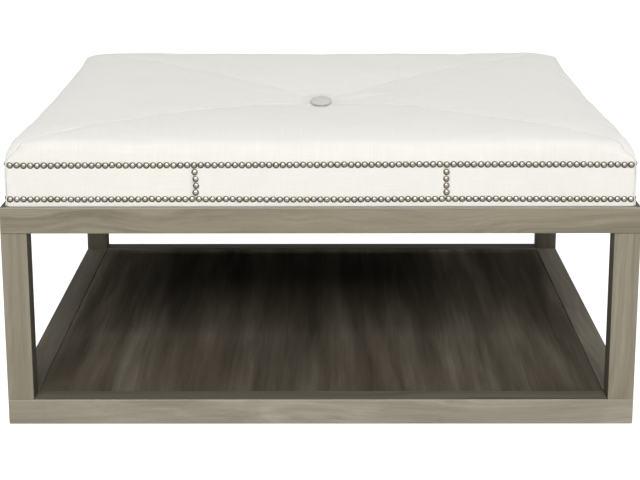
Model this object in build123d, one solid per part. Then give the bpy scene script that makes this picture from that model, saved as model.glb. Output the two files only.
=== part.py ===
from build123d import *
import math
import os

os.makedirs("parts", exist_ok=True)

# A square cocktail ottoman: an upholstered seat with one button and four mitred cover panels, two rows of
# decorative nails, and an open base frame of square timber with a low shelf.
# Millimetres. +Z up, the front faces -Y, the origin is on the floor under the middle of the seat.

# ---------------------------------------------------------------- driving dimensions
WIDTH = 1067.0  # 42 in over the base frame, left to right
DEPTH = 1067.0  # 42 in, front to back
SECTION = 44.0  # square timber of the base frame, 1 3/4 in
EASE = 1.2  # radius of the eased long edges of the timber
GLIDE_H = 3.0  # height of the glides under the bottom rails
BASE_H = 380.0  # bottom of the bottom rails to the top of the top rails
LEDGE = 9.0  # the seat stands this far in from the base frame, all round

COVER_T = 1.5  # upholstery fabric
WADDING_T = 6.0  # polyester wadding over the foam
SEAT_EDGE_R = 38.0  # rounding of the seat's top edge
SEAT_CORNER_R = 9.0  # rounding of the seat's vertical corners
CROWN_H = 115.0  # seat's top above the base frame
DISH_H = 88.0  # bottom of the dish under the button, above the base frame
DISH_RADIUS = 225.0  # where the dish meets the flat top
FLAP_W = 21.5  # width of the fabric turned under the box rails
DUST_T = 0.8  # dust cover cloth

BOX_RAIL_T = 22.0
BOX_RAIL_TOP = 80.0  # top of the box rails above the base frame
BOX_EDGE_R = 7.0  # eased outer top edge of the box rails
DECK_TOP = 52.0  # top of the plywood deck above the base frame
DECK_T = 12.0
LEDGER = 18.0
BRACE_X = 170.0
BRACE_T = 22.0

SHELF_T = 18.0
SHELF_RECESS = 1.5  # shelf below the top of the bottom rails
SHELF_GAP = 1.0  # gap round the shelf
CLEAT = 18.0

NAIL_D = 11.1  # 7/16 in head
NAIL_HEAD_H = 2.8
NAIL_SHANK = 13.0
NAIL_LOW = 12.5  # lower row above the base frame
NAIL_HIGH = 70.5  # upper row above the base frame
NAIL_PITCH_LOW = 11.215
NAIL_PITCH_HIGH = 11.3
DIVIDER_X = 18.5 * NAIL_PITCH_HIGH
DIVIDER_STEP = (NAIL_HIGH - NAIL_LOW) / 5.0

BUTTON_D = 43.0
BUTTON_H = 6.7

# ---------------------------------------------------------------- derived places
HW, HD = WIDTH / 2, DEPTH / 2
Z0 = GLIDE_H
Z_TOP = Z0 + BASE_H  # top of the base frame
CORNER = HW - SECTION / 2  # centre line of the posts
INNER = HW - SECTION  # inner faces of the rails
SEAT = HW - LEDGE  # outer face of the cover
BOX = SEAT - COVER_T  # outer face of the box rails
BOX_IN = BOX - BOX_RAIL_T
Z_FLAP = Z_TOP + DUST_T
Z_BOX = Z_FLAP + COVER_T
Z_BOXTOP = Z_TOP + BOX_RAIL_TOP
Z_DECK = Z_TOP + DECK_TOP
Z_CROWN = Z_TOP + CROWN_H
Z_DISH = Z_TOP + DISH_H
FAR = 2000.0


# ---------------------------------------------------------------- helpers
def block(x0, x1, y0, y1, z0, z1):
    return Pos((x0 + x1) / 2, (y0 + y1) / 2, (z0 + z1) / 2) * Box(x1 - x0, y1 - y0, z1 - z0)


def cyl(x, y, z0, z1, r):
    return Pos(x, y, (z0 + z1) / 2) * Cylinder(r, z1 - z0)


def wedge(side, z0, z1):
    """The quarter of the plan that belongs to one side, cut off by the two diagonals."""
    corners = {
        "front": [(0, 0), (-FAR, -FAR), (FAR, -FAR)],
        "right": [(0, 0), (FAR, -FAR), (FAR, FAR)],
        "back": [(0, 0), (FAR, FAR), (-FAR, FAR)],
        "left": [(0, 0), (-FAR, FAR), (-FAR, -FAR)],
    }[side]
    face = make_face(Polyline([Vector(x, y, z0) for x, y in corners], close=True))
    return extrude(face, amount=z1 - z0, dir=(0, 0, 1))


SIDES = ("front", "back", "left", "right")
TURN = {"front": 0, "right": 90, "back": 180, "left": 270}  # turns a front piece to its side


def one(shape):
    """The shape as its single solid."""
    solids = shape.solids()
    assert len(solids) == 1, len(solids)
    return solids[0]


NODES = {}


def keep(name, *shapes):
    solids = [s for shape in shapes for s in shape.solids()]
    NODES[name] = solids


def cut(shape, tools):
    tools = [t for t in tools]
    return shape - tools if tools else shape


# ---------------------------------------------------------------- fasteners
def wood_screw(length, shank_d, head_d, flat_head=True):
    """A wood screw along -Z with its head's top at z = 0: (the screw with its square drive, its plain body)."""
    rs, rh = shank_d / 2, head_d / 2
    if flat_head:
        k = rh - rs
        profile = [(0, 0), (rh, 0), (rs, -k), (rs, -(length - 4.0)), (0.4, -length), (0, -length)]
    else:
        k = 3.2
        profile = [(0, k), (rh - 1.0, k), (rh, k - 1.2), (rh, 0), (rs, 0), (rs, -(length - 4.0)), (0.4, -length), (0, -length)]
    face = make_face(Polyline([Vector(x, 0, z) for x, z in profile], close=True))
    body = one(revolve(face, Axis.Z, 360))
    top = 0 if flat_head else k
    screw = one(body - Pos(0, 0, top - 1.0) * Box(2.8, 2.8, 2.0))
    return screw, body


def nail_body():
    """One decorative nail along -Y's outward direction: the domed head outside y = 0, the shank inward along +Y."""
    r, h = NAIL_D / 2, NAIL_HEAD_H
    R = (r * r + h * h) / (2 * h)
    a = math.asin(r / R) / 2
    mid = (R * math.sin(a), -h + R * (1 - math.cos(a)))
    head = make_face(
        [
            ThreePointArc(Vector(0, -h, 0), Vector(mid[0], mid[1], 0), Vector(r, 0, 0)),
            Polyline([Vector(r, 0, 0), Vector(0.9, 0, 0), Vector(0.25, NAIL_SHANK, 0), Vector(0, NAIL_SHANK, 0), Vector(0, -h, 0)]),
        ]
    )
    return one(revolve(head, Axis.Y, 360))


def nail_places(side):
    """(x, z) of each nail on a side, as seen from outside. The side rows start further from the corner, so that the shanks pass each other."""
    z_low, z_high = Z_TOP + NAIL_LOW, Z_TOP + NAIL_HIGH
    if side in ("front", "back"):
        low = [(i - 46) * NAIL_PITCH_LOW for i in range(93)]
        high = [(i - 45.5) * NAIL_PITCH_HIGH for i in range(92)]
    else:
        low = [(i - 45.5) * NAIL_PITCH_LOW for i in range(92)]
        high = [(i - 45) * NAIL_PITCH_HIGH for i in range(91)]
    places = [(x, z_low) for x in low] + [(x, z_high) for x in high]
    for x in (-DIVIDER_X, DIVIDER_X):
        places += [(x, z_low + DIVIDER_STEP * i) for i in range(1, 5)]
    return places


# ---------------------------------------------------------------- base frame
def square_frame(z0):
    """A square of mitred rails, edges eased, as four solids."""
    z1 = z0 + SECTION
    outer = block(-HW, HW, -HD, HD, z0, z1)
    edges = [e for e in outer.edges()]
    outer = fillet(edges, EASE)
    hole = block(-INNER, INNER, -INNER, INNER, z0 - 5, z1 + 5)
    ring = outer - hole
    inner_edges = [
        e
        for e in ring.edges()
        if abs(max(abs(e.center().X), abs(e.center().Y)) - INNER) < 0.01
        and (abs(e.center().Z - z0) < 0.01 or abs(e.center().Z - z1) < 0.01)
    ]
    ring = chamfer(inner_edges, EASE * 0.7)
    return {side: one(ring & wedge(side, z0 - 10, z1 + 10)) for side in SIDES}


bottom = square_frame(Z0)
top = square_frame(Z_TOP - SECTION)

post_z0, post_z1 = Z0 + SECTION, Z_TOP - SECTION
post_places = {
    "front_left": (-CORNER, -CORNER),
    "front_right": (CORNER, -CORNER),
    "back_left": (-CORNER, CORNER),
    "back_right": (CORNER, CORNER),
}
posts = {}
for name, (x, y) in post_places.items():
    p = block(x - SECTION / 2, x + SECTION / 2, y - SECTION / 2, y + SECTION / 2, post_z0, post_z1)
    p = fillet(p.edges().filter_by(Axis.Z), EASE)
    posts[name] = p

# Dowels: two at each end of each post, one each side of the mitre, so each rail holds one.
DOWEL_D, DOWEL_L = 10.0, 40.0
dowels, dowel_holes = [], []
for name, (x, y) in post_places.items():
    sx, sy = math.copysign(1, x), math.copysign(1, y)
    for s in (-1, 1):
        dx, dy = s * sx * 7.8, -s * sy * 7.8
        for z in (post_z0, post_z1):
            d = cyl(x + dx, y + dy, z - DOWEL_L / 2, z + DOWEL_L / 2, DOWEL_D / 2)
            dowel_holes.append(cyl(x + dx, y + dy, z - DOWEL_L / 2 - 1, z + DOWEL_L / 2 + 1, DOWEL_D / 2))
            dowels.append(chamfer(d.edges().filter_by(GeomType.CIRCLE), 1.0))

# Biscuits across each mitre.
BISCUIT_T = 4.0
biscuits = []
lens_r = (28.0**2 + 11.5**2) / (2 * 11.5)
lens = (Pos(0, lens_r - 11.5, 0) * Cylinder(lens_r, BISCUIT_T)) & (Pos(0, -(lens_r - 11.5), 0) * Cylinder(lens_r, BISCUIT_T))
lens = lens & Box(53, 30, BISCUIT_T)
for z in (Z0 + 13.0, Z_TOP - 13.0):
    for a in (45, 135, 225, 315):
        c = CORNER * math.sqrt(2)
        biscuits.append(Rot(0, 0, a) * Pos(c, 0, z) * lens)

# Glides, nailed into the front and back rails close to the posts.
glides = []
for sx in (-1, 1):
    for sy in (-1, 1):
        face = make_face(
            Polyline(
                [
                    Vector(0, 0, 0),
                    Vector(8.2, 0, 0),
                    Vector(10.0, 0, 1.4),
                    Vector(10.0, 0, GLIDE_H),
                    Vector(1.2, 0, GLIDE_H),
                    Vector(1.2, 0, GLIDE_H + 12),
                    Vector(0.2, 0, GLIDE_H + 15),
                    Vector(0, 0, GLIDE_H + 15),
                ],
                close=True,
            )
        )
        glides.append(Pos(sx * (CORNER - 26), sy * CORNER, 0) * one(revolve(face, Axis.Z, 360)))

# ---------------------------------------------------------------- shelf
Z_SHELF = Z0 + SECTION - SHELF_RECESS
shelf = block(-(INNER - SHELF_GAP), INNER - SHELF_GAP, -(INNER - SHELF_GAP), INNER - SHELF_GAP, Z_SHELF - SHELF_T, Z_SHELF)
shelf = chamfer([e for e in shelf.edges() if abs(e.center().Z - Z_SHELF) < 0.01], 0.5)
cleat_z1 = Z_SHELF - SHELF_T
cleat_z0 = cleat_z1 - CLEAT
cleats = {
    "left": block(-INNER, -INNER + CLEAT, -INNER, INNER, cleat_z0, cleat_z1),
    "right": block(INNER - CLEAT, INNER, -INNER, INNER, cleat_z0, cleat_z1),
    "front": block(-INNER + CLEAT, INNER - CLEAT, -INNER, -INNER + CLEAT, cleat_z0, cleat_z1),
    "back": block(-INNER + CLEAT, INNER - CLEAT, INNER - CLEAT, INNER, cleat_z0, cleat_z1),
}
screw32, screw32_body = wood_screw(32.0, 4.0, 8.2)
screw30, screw30_body = wood_screw(28.0, 3.6, 7.2)
cleat_screws, cleat_bodies, shelf_screws, shelf_bodies = [], [], [], []
for side in SIDES:
    for x in (-360, -120, 120, 360):
        # a front screw points to -Y, from the cleat's inner face into the rail
        place = Rot(0, 0, TURN[side]) * Pos(x, -(INNER - CLEAT), (cleat_z0 + cleat_z1) / 2) * Rot(-90, 0, 0)
        cleat_screws.append(place * screw32)
        cleat_bodies.append(place * screw32_body)
    for x in (-240, 0, 240):
        place = Rot(0, 0, TURN[side]) * Pos(x, -(INNER - CLEAT / 2), cleat_z0) * Rot(180, 0, 0)
        shelf_screws.append(place * screw30)
        shelf_bodies.append(place * screw30_body)

# ---------------------------------------------------------------- seat fixing screws, up through the top rails
FIX_X = {"front": 26.5 * NAIL_PITCH_LOW, "back": 26.5 * NAIL_PITCH_LOW, "left": 27 * NAIL_PITCH_LOW, "right": 27 * NAIL_PITCH_LOW}  # between two nails
FIX_Y = BOX - BOX_RAIL_T / 2
CB_DEPTH = 14.0
screw60, screw60_body = wood_screw(60.0, 4.8, 9.5, flat_head=False)
fix_screws, fix_bodies, fix_bores = [], [], []
for side in SIDES:
    for x in (-FIX_X[side], FIX_X[side]):
        place = Rot(0, 0, TURN[side]) * Pos(x, -FIX_Y, Z_TOP - SECTION + CB_DEPTH) * Rot(180, 0, 0)
        fix_screws.append(place * screw60)
        fix_bodies.append(place * screw60_body)
        fix_bores.append(Rot(0, 0, TURN[side]) * cyl(x, -FIX_Y, Z_TOP - SECTION - 1, Z_TOP - SECTION + CB_DEPTH, 6.0))

for side in SIDES:
    keep("base_rail_" + side, one(cut(bottom[side], dowel_holes + biscuits + glides + cleat_bodies)))
    keep("top_rail_" + side, one(cut(top[side], dowel_holes + biscuits + fix_bodies + fix_bores)))
for name, p in posts.items():
    keep("post_" + name, one(cut(p, dowel_holes)))
keep("post_dowels", *dowels)
keep("mitre_biscuits", *biscuits)
keep("floor_glides", *glides)
keep("shelf_panel", one(cut(shelf, shelf_bodies)))
for side in SIDES:
    keep("shelf_cleat_" + side, one(cut(cleats[side], cleat_bodies + shelf_bodies)))
keep("cleat_screws", *cleat_screws)
keep("shelf_screws", *shelf_screws)
keep("seat_fixing_screws", *fix_screws)


# ---------------------------------------------------------------- seat: the soft form
def seat_form(t, z0, top_z=None):
    """The seat's outer form, moved inward by t: rounded top edge, rounded corners, dished middle."""
    half, r = SEAT - t, SEAT_EDGE_R - t
    z1 = Z_CROWN - t
    side = make_face(
        [
            Polyline([Vector(-half, 0, z1 - r), Vector(-half, 0, z0), Vector(half, 0, z0), Vector(half, 0, z1 - r)]),
            ThreePointArc(
                Vector(half, 0, z1 - r),
                Vector(half - r * (1 - math.sqrt(0.5)), 0, z1 - r * (1 - math.sqrt(0.5))),
                Vector(half - r, 0, z1),
            ),
            Line(Vector(half - r, 0, z1), Vector(-half + r, 0, z1)),
            ThreePointArc(
                Vector(-half + r, 0, z1),
                Vector(-half + r * (1 - math.sqrt(0.5)), 0, z1 - r * (1 - math.sqrt(0.5))),
                Vector(-half, 0, z1 - r),
            ),
        ]
    )
    a = extrude(side, amount=half + 5, dir=(0, 1, 0), both=True)
    b = Rot(0, 0, 90) * a
    c = block(-half, half, -half, half, z0, z1)
    c = fillet(c.edges().filter_by(Axis.Z), max(SEAT_CORNER_R - t, 0.5))
    form = a & b & c
    depth = Z_CROWN - Z_DISH
    R = (DISH_RADIUS**2 + depth**2) / (2 * depth)
    return one(form - Pos(0, 0, Z_DISH + R) * Sphere(R + t))


BUTTON_HOLE = cyl(0, 0, Z_TOP, Z_CROWN + 10, 3.5)

# Nails. They and the staples are driven into the wood with no hole made first, so they share its space.
nail = nail_body()
nails = {}
for side in SIDES:
    row = []
    for x, z in nail_places(side):
        place = Rot(0, 0, TURN[side]) * Pos(x, -SEAT, z)
        row.append(place * nail)
    nails[side] = row

# Staples.
staple = block(-5.5, 5.5, -0.5, 0.5, 0, 0.5) + block(-5.5, -5.0, -0.5, 0.5, 0, 8.5) + block(5.0, 5.5, -0.5, 0.5, 0, 8.5)
cover_staples, dust_staples = [], []
for side in SIDES:
    for x in (-440, -340, -220, -100, 100, 220, 340, 440):
        cover_staples.append(Rot(0, 0, TURN[side]) * Pos(x, -(BOX - 15), Z_FLAP) * staple)
    for x in (-390, -270, -160, -50, 50, 160, 270, 390):
        dust_staples.append(Rot(0, 0, TURN[side]) * Pos(x, -(BOX - 17), Z_TOP) * staple)

# The cover: a shell with a turned-under flap, cut on the diagonals into four panels.
cover = seat_form(0, Z_FLAP) - seat_form(COVER_T, Z_BOX)
cover = cover - block(-(SEAT - FLAP_W), SEAT - FLAP_W, -(SEAT - FLAP_W), SEAT - FLAP_W, Z_FLAP - 5, Z_BOX + 1)
cover = cover - BUTTON_HOLE
for side in SIDES:
    panel = one(cover & wedge(side, Z_TOP - 20, Z_CROWN + 20))
    keep("cover_panel_" + side, one(cut(panel, fix_bodies)))

# ---------------------------------------------------------------- seat box
box_block = block(-BOX, BOX, -BOX, BOX, Z_BOX, Z_BOXTOP)
box_block = fillet(box_block.edges().filter_by(Axis.Z), SEAT_CORNER_R - COVER_T)
box_top_edges = [e for e in box_block.edges() if abs(e.center().Z - Z_BOXTOP) < 0.01]
box_block = fillet(box_top_edges, BOX_EDGE_R)
box_ring = box_block - block(-BOX_IN, BOX_IN, -BOX_IN, BOX_IN, Z_BOX - 5, Z_BOXTOP + 5)
box_rails = {
    "front": one(box_ring & block(-FAR, FAR, -FAR, -BOX_IN, 0, FAR)),
    "back": one(box_ring & block(-FAR, FAR, BOX_IN, FAR, 0, FAR)),
    "left": one(box_ring & block(-FAR, 0, -BOX_IN, BOX_IN, 0, FAR)),
    "right": one(box_ring & block(0, FAR, -BOX_IN, BOX_IN, 0, FAR)),
}
box_dowels, box_dowel_holes = [], []
for sx in (-1, 1):
    for sy in (-1, 1):
        for z in (Z_TOP + 24.0, Z_TOP + 57.0):
            y0, y1 = sorted((sy * (BOX_IN + 17), sy * (BOX_IN - 23)))
            d = Pos(sx * (BOX - BOX_RAIL_T / 2), (y0 + y1) / 2, z) * Rot(90, 0, 0) * Cylinder(4.0, 40.0)
            box_dowels.append(chamfer(d.edges().filter_by(GeomType.CIRCLE), 0.8))
            box_dowel_holes.append(Pos(sx * (BOX - BOX_RAIL_T / 2), (y0 + y1) / 2, z) * Rot(90, 0, 0) * Cylinder(4.0, 42.0))

# Deck ledgers, braces, deck.
led_z1 = Z_DECK - DECK_T
led_z0 = led_z1 - LEDGER
ledgers = {
    "front": block(-BOX_IN, BOX_IN, -BOX_IN, -BOX_IN + LEDGER, led_z0, led_z1),
    "back": block(-BOX_IN, BOX_IN, BOX_IN - LEDGER, BOX_IN, led_z0, led_z1),
    "left": block(-BOX_IN, -BOX_IN + LEDGER, -BOX_IN + LEDGER, BOX_IN - LEDGER, led_z0, led_z1),
    "right": block(BOX_IN - LEDGER, BOX_IN, -BOX_IN + LEDGER, BOX_IN - LEDGER, led_z0, led_z1),
}
ledger_screws, ledger_bodies = [], []
for side in SIDES:
    for x in (-450, -270, -90, 90, 270, 450):
        place = Rot(0, 0, TURN[side]) * Pos(x, -(BOX_IN - LEDGER), (led_z0 + led_z1) / 2) * Rot(-90, 0, 0)
        ledger_screws.append(place * screw32)
        ledger_bodies.append(place * screw32_body)
braces = {}
for name, x in (("left", -BRACE_X), ("right", BRACE_X)):
    b = block(x - BRACE_T / 2, x + BRACE_T / 2, -BOX_IN, BOX_IN, Z_BOX, led_z1)
    b = b - [
        block(x - 20, x + 20, -BOX_IN - 5, -BOX_IN + LEDGER, led_z0, led_z1 + 5),
        block(x - 20, x + 20, BOX_IN - LEDGER, BOX_IN + 5, led_z0, led_z1 + 5),
    ]
    braces[name] = b
screw50, screw50_body = wood_screw(50.0, 4.0, 8.2)
brace_screws, brace_bodies = [], []
for side in ("front", "back"):
    for x in (-15.5 * NAIL_PITCH_LOW, 15.5 * NAIL_PITCH_LOW):
        place = Rot(0, 0, TURN[side]) * Pos(x, -BOX, Z_TOP + 13.0) * Rot(90, 0, 0)
        brace_screws.append(place * screw50)
        brace_bodies.append(place * screw50_body)
deck = block(-(BOX_IN - 1), BOX_IN - 1, -(BOX_IN - 1), BOX_IN - 1, Z_DECK - DECK_T, Z_DECK) - cyl(0, 0, Z_DECK - 20, Z_DECK + 5, 4.0)
screw25, screw25_body = wood_screw(25.0, 4.0, 8.0)
deck_screws, deck_bodies = [], []
places = [(x, s * (BOX_IN - LEDGER / 2)) for x in (-360, -180, 0, 180, 360) for s in (-1, 1)]
places += [(s * (BOX_IN - LEDGER / 2), y) for y in (-360, -180, 0, 180, 360) for s in (-1, 1)]
places += [(s * BRACE_X, y) for y in (-300, 0, 300) for s in (-1, 1)]
for x, y in places:
    deck_screws.append(Pos(x, y, Z_DECK) * screw25)
    deck_bodies.append(Pos(x, y, Z_DECK) * screw25_body)

# Glue blocks in the corners, under the ledgers.
corner_blocks = []
for sx in (-1, 1):
    for sy in (-1, 1):
        c = [(sx * BOX_IN, sy * BOX_IN), (sx * (BOX_IN - 90), sy * BOX_IN), (sx * (BOX_IN - 90), sy * (BOX_IN - 12))]
        c += [(sx * (BOX_IN - 12), sy * (BOX_IN - 90)), (sx * BOX_IN, sy * (BOX_IN - 90))]
        face = make_face(Polyline([Vector(x, y, Z_BOX + 0.7) for x, y in c], close=True))
        corner_blocks.append(extrude(face, amount=led_z0 - Z_BOX - 0.7, dir=(0, 0, 1)))

for side in SIDES:
    tools = fix_bodies + box_dowel_holes + ledger_bodies + brace_bodies
    keep("seat_box_rail_" + side, one(cut(box_rails[side], tools)))
    keep("deck_ledger_" + side, one(cut(ledgers[side], ledger_bodies + deck_bodies)))
for name, b in braces.items():
    keep("cross_brace_" + name, one(cut(b, brace_bodies + deck_bodies)))
keep("seat_deck", one(cut(deck, deck_bodies)))
keep("box_dowels", *box_dowels)
keep("corner_blocks", *corner_blocks)
keep("ledger_screws", *ledger_screws)
keep("brace_screws", *brace_screws)
keep("deck_screws", *deck_screws)

# ---------------------------------------------------------------- filling
foam_form = seat_form(COVER_T + WADDING_T, Z_BOX)
foam = foam_form & (block(-FAR, FAR, -FAR, FAR, Z_BOXTOP, FAR) + block(-(BOX_IN - 0.5), BOX_IN - 0.5, -(BOX_IN - 0.5), BOX_IN - 0.5, Z_DECK, Z_BOXTOP + 1))
keep("foam_core", one(foam - BUTTON_HOLE))
wadding = (seat_form(COVER_T, Z_BOX) - foam_form) & block(-FAR, FAR, -FAR, FAR, Z_BOXTOP, FAR)
keep("polyester_wadding", one(wadding - BUTTON_HOLE))

keep("cover_staples", *cover_staples)
dust = block(-512, 512, -512, 512, Z_TOP, Z_TOP + DUST_T)
keep("dust_cover", one(cut(dust, fix_bodies)))
keep("dust_cover_staples", *dust_staples)
for side in SIDES:
    keep("nails_" + side, *nails[side])

# ---------------------------------------------------------------- button and its tie
z_b = Z_DISH + 0.3
r_b = BUTTON_D / 2
R_b = (r_b**2 + BUTTON_H**2) / (2 * BUTTON_H)


def cap(t):
    ball = Pos(0, 0, z_b + BUTTON_H - R_b) * Sphere(R_b - t)
    return ball & block(-50, 50, -50, 50, z_b, z_b + 50)


keep("button_cover", one(cap(0) - cap(0.9)))
keep("button_shell", one(cap(0.9) - cap(1.7)))
ring = Pos(0, 0, z_b - 2.7) * Rot(90, 0, 0) * Torus(2.4, 0.6)
button_back = cyl(0, 0, z_b, z_b + 0.8, 16.8) + ring
keep("button_back", one(button_back))

z_t = z_b - 2.7 - 2.4  # the loop's lowest wire
twine_r, twine_gap = 0.6, 1.6
washer_z1 = Z_DECK - DECK_T
washer_z0 = washer_z1 - 2.5
bend = Pos(0, 0, z_t) * Rot(0, 90, 0) * Torus(twine_gap, twine_r) & block(-10, 10, -10, 10, z_t, z_t + 10)
twine = (
    bend
    + cyl(0, -twine_gap, washer_z0 - 2.7, z_t, twine_r)
    + cyl(0, twine_gap, washer_z0 - 2.7, z_t, twine_r)
    + Pos(0, 0, washer_z0 - 2.7) * Sphere(2.7)
)
keep("tufting_twine", one(twine))
washer = cyl(0, 0, washer_z0, washer_z1, 14.0)
washer = washer - [cyl(0, -twine_gap, washer_z0 - 5, washer_z1 + 5, twine_r), cyl(0, twine_gap, washer_z0 - 5, washer_z1 + 5, twine_r)]
keep("twine_washer", one(washer))

# ---------------------------------------------------------------- write each node
for name, solids in NODES.items():
    shape = solids[0] if len(solids) == 1 else Compound(children=list(solids))
    export_step(shape, f"parts/{name}.step")
print(len(NODES), "nodes")
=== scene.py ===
import math

import bpy
import numpy as np
from mathutils import Matrix, Vector


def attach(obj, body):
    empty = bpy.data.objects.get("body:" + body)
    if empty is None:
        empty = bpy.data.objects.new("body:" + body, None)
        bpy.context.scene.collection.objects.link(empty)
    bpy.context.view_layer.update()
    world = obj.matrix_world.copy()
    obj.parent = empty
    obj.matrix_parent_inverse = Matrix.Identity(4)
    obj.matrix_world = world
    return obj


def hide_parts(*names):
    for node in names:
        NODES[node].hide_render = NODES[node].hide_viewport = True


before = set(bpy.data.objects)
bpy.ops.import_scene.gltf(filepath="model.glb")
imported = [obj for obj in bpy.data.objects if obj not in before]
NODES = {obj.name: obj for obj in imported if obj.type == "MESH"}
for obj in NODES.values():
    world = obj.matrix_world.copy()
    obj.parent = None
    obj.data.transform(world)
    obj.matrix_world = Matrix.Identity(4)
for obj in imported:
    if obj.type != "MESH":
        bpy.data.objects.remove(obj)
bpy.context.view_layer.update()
SIDES = ("front", "right", "back", "left")
TURN = {"front": 0, "right": 90, "back": 180, "left": 270}
MM = 0.001
T = 383.0  # top of the base frame, mm
SEAT = 524.5  # outer face of the cover's side bands, mm

# ---------------------------------------------------------------- camera
cam_data = bpy.data.cameras.new("camera")
cam_data.sensor_width = 36.0
cam_data.lens = 97.15
cam_data.clip_start, cam_data.clip_end = 0.05, 100.0
camera = bpy.data.objects.new("camera", cam_data)
bpy.context.scene.collection.objects.link(camera)
yaw, pitch, roll = math.radians(-0.167), math.radians(14.323), math.radians(-0.079)
ahead = Vector((math.sin(yaw) * math.cos(pitch), math.cos(yaw) * math.cos(pitch), -math.sin(pitch)))
right = Vector((math.cos(yaw), -math.sin(yaw), 0.0))
up = right.cross(ahead)
r2 = math.cos(roll) * right + math.sin(roll) * up
u2 = -math.sin(roll) * right + math.cos(roll) * up
camera.matrix_world = Matrix.Translation((0.00736, -3.3225, 1.0401)) @ Matrix((r2, u2, -ahead)).transposed().to_4x4()
bpy.context.scene.camera = camera


# ---------------------------------------------------------------- node trees
class Tree:
    """A material's node tree, written as short calls."""

    def __init__(self, name):
        self.material = bpy.data.materials.new(name)
        self.material.use_nodes = True
        self.tree = self.material.node_tree
        self.tree.nodes.clear()
        self.out = self.tree.nodes.new("ShaderNodeOutputMaterial")

    def put(self, node, key, value):
        if isinstance(value, bpy.types.NodeSocket):
            self.tree.links.new(value, node.inputs[key])
        elif value is not None:
            node.inputs[key].default_value = value

    def node(self, kind, inputs=None, **props):
        n = self.tree.nodes.new("ShaderNode" + kind)
        for k, v in props.items():
            setattr(n, k, v)
        for k, v in (inputs or {}).items():
            self.put(n, k, v)
        return n

    def math(self, op, a, b=None, c=None, clamp=False):
        n = self.node("Math", operation=op, use_clamp=clamp)
        for i, v in enumerate((a, b, c)):
            self.put(n, i, v)
        return n.outputs[0]

    def vmath(self, op, a, b=None, scale=None):
        n = self.node("VectorMath", operation=op)
        self.put(n, 0, a)
        self.put(n, 1, b)
        if scale is not None:
            self.put(n, "Scale", scale)
        return n.outputs[0]

    def mix(self, f, a, b, mode="MIX"):
        n = self.node("Mix", data_type="RGBA", blend_type=mode)
        self.put(n, 0, f)
        self.put(n, 6, a)
        self.put(n, 7, b)
        return n.outputs[2]

    def ramp(self, f, stops, smooth=False):
        n = self.node("ValToRGB", {"Fac": f})
        r = n.color_ramp
        r.interpolation = "EASE" if smooth else "LINEAR"
        while len(r.elements) < len(stops):
            r.elements.new(0.5)
        for e, (at, colour) in zip(r.elements, stops):
            e.position = at
            e.color = (*colour, 1) if len(colour) == 3 else colour
        return n.outputs[0]

    def grey(self, f, lo, hi, a=0.0, b=1.0):
        """f from lo..hi to a..b, clamped."""
        n = self.node("MapRange", {"Value": f, "From Min": lo, "From Max": hi, "To Min": a, "To Max": b}, clamp=True)
        return n.outputs[0]

    def noise(self, vector, scale=1.0, detail=2.0, rough=0.5, distortion=0.0):
        n = self.node("TexNoise", {"Vector": vector, "Scale": scale, "Detail": detail, "Roughness": rough, "Distortion": distortion})
        return n.outputs[0]

    def voronoi(self, vector, scale=1.0, feature="F1"):
        return self.node("TexVoronoi", {"Vector": vector, "Scale": scale}, feature=feature).outputs[0]

    def place(self):
        return self.node("TexCoord").outputs["Object"]

    def attribute(self, name):
        return self.node("Attribute", attribute_name=name)

    def split(self, vector):
        return self.node("SeparateXYZ", {"Vector": vector}).outputs

    def join(self, x, y, z):
        return self.node("CombineXYZ", {"X": x, "Y": y, "Z": z}).outputs[0]

    def bump(self, height, strength, distance, normal=None):
        return self.node("Bump", {"Height": height, "Strength": strength, "Distance": distance, "Normal": normal}).outputs[0]

    def principled(self, **values):
        n = self.node("BsdfPrincipled")
        for k, v in values.items():
            self.put(n, k.replace("_", " "), v)
        self.tree.links.new(n.outputs[0], self.out.inputs[0])
        return n


def rgb(r, g, b):
    """sRGB 0..255 to linear."""
    return tuple(((c / 255 + 0.055) / 1.055) ** 2.4 if c > 10 else c / 255 / 12.92 for c in (r, g, b))


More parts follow.
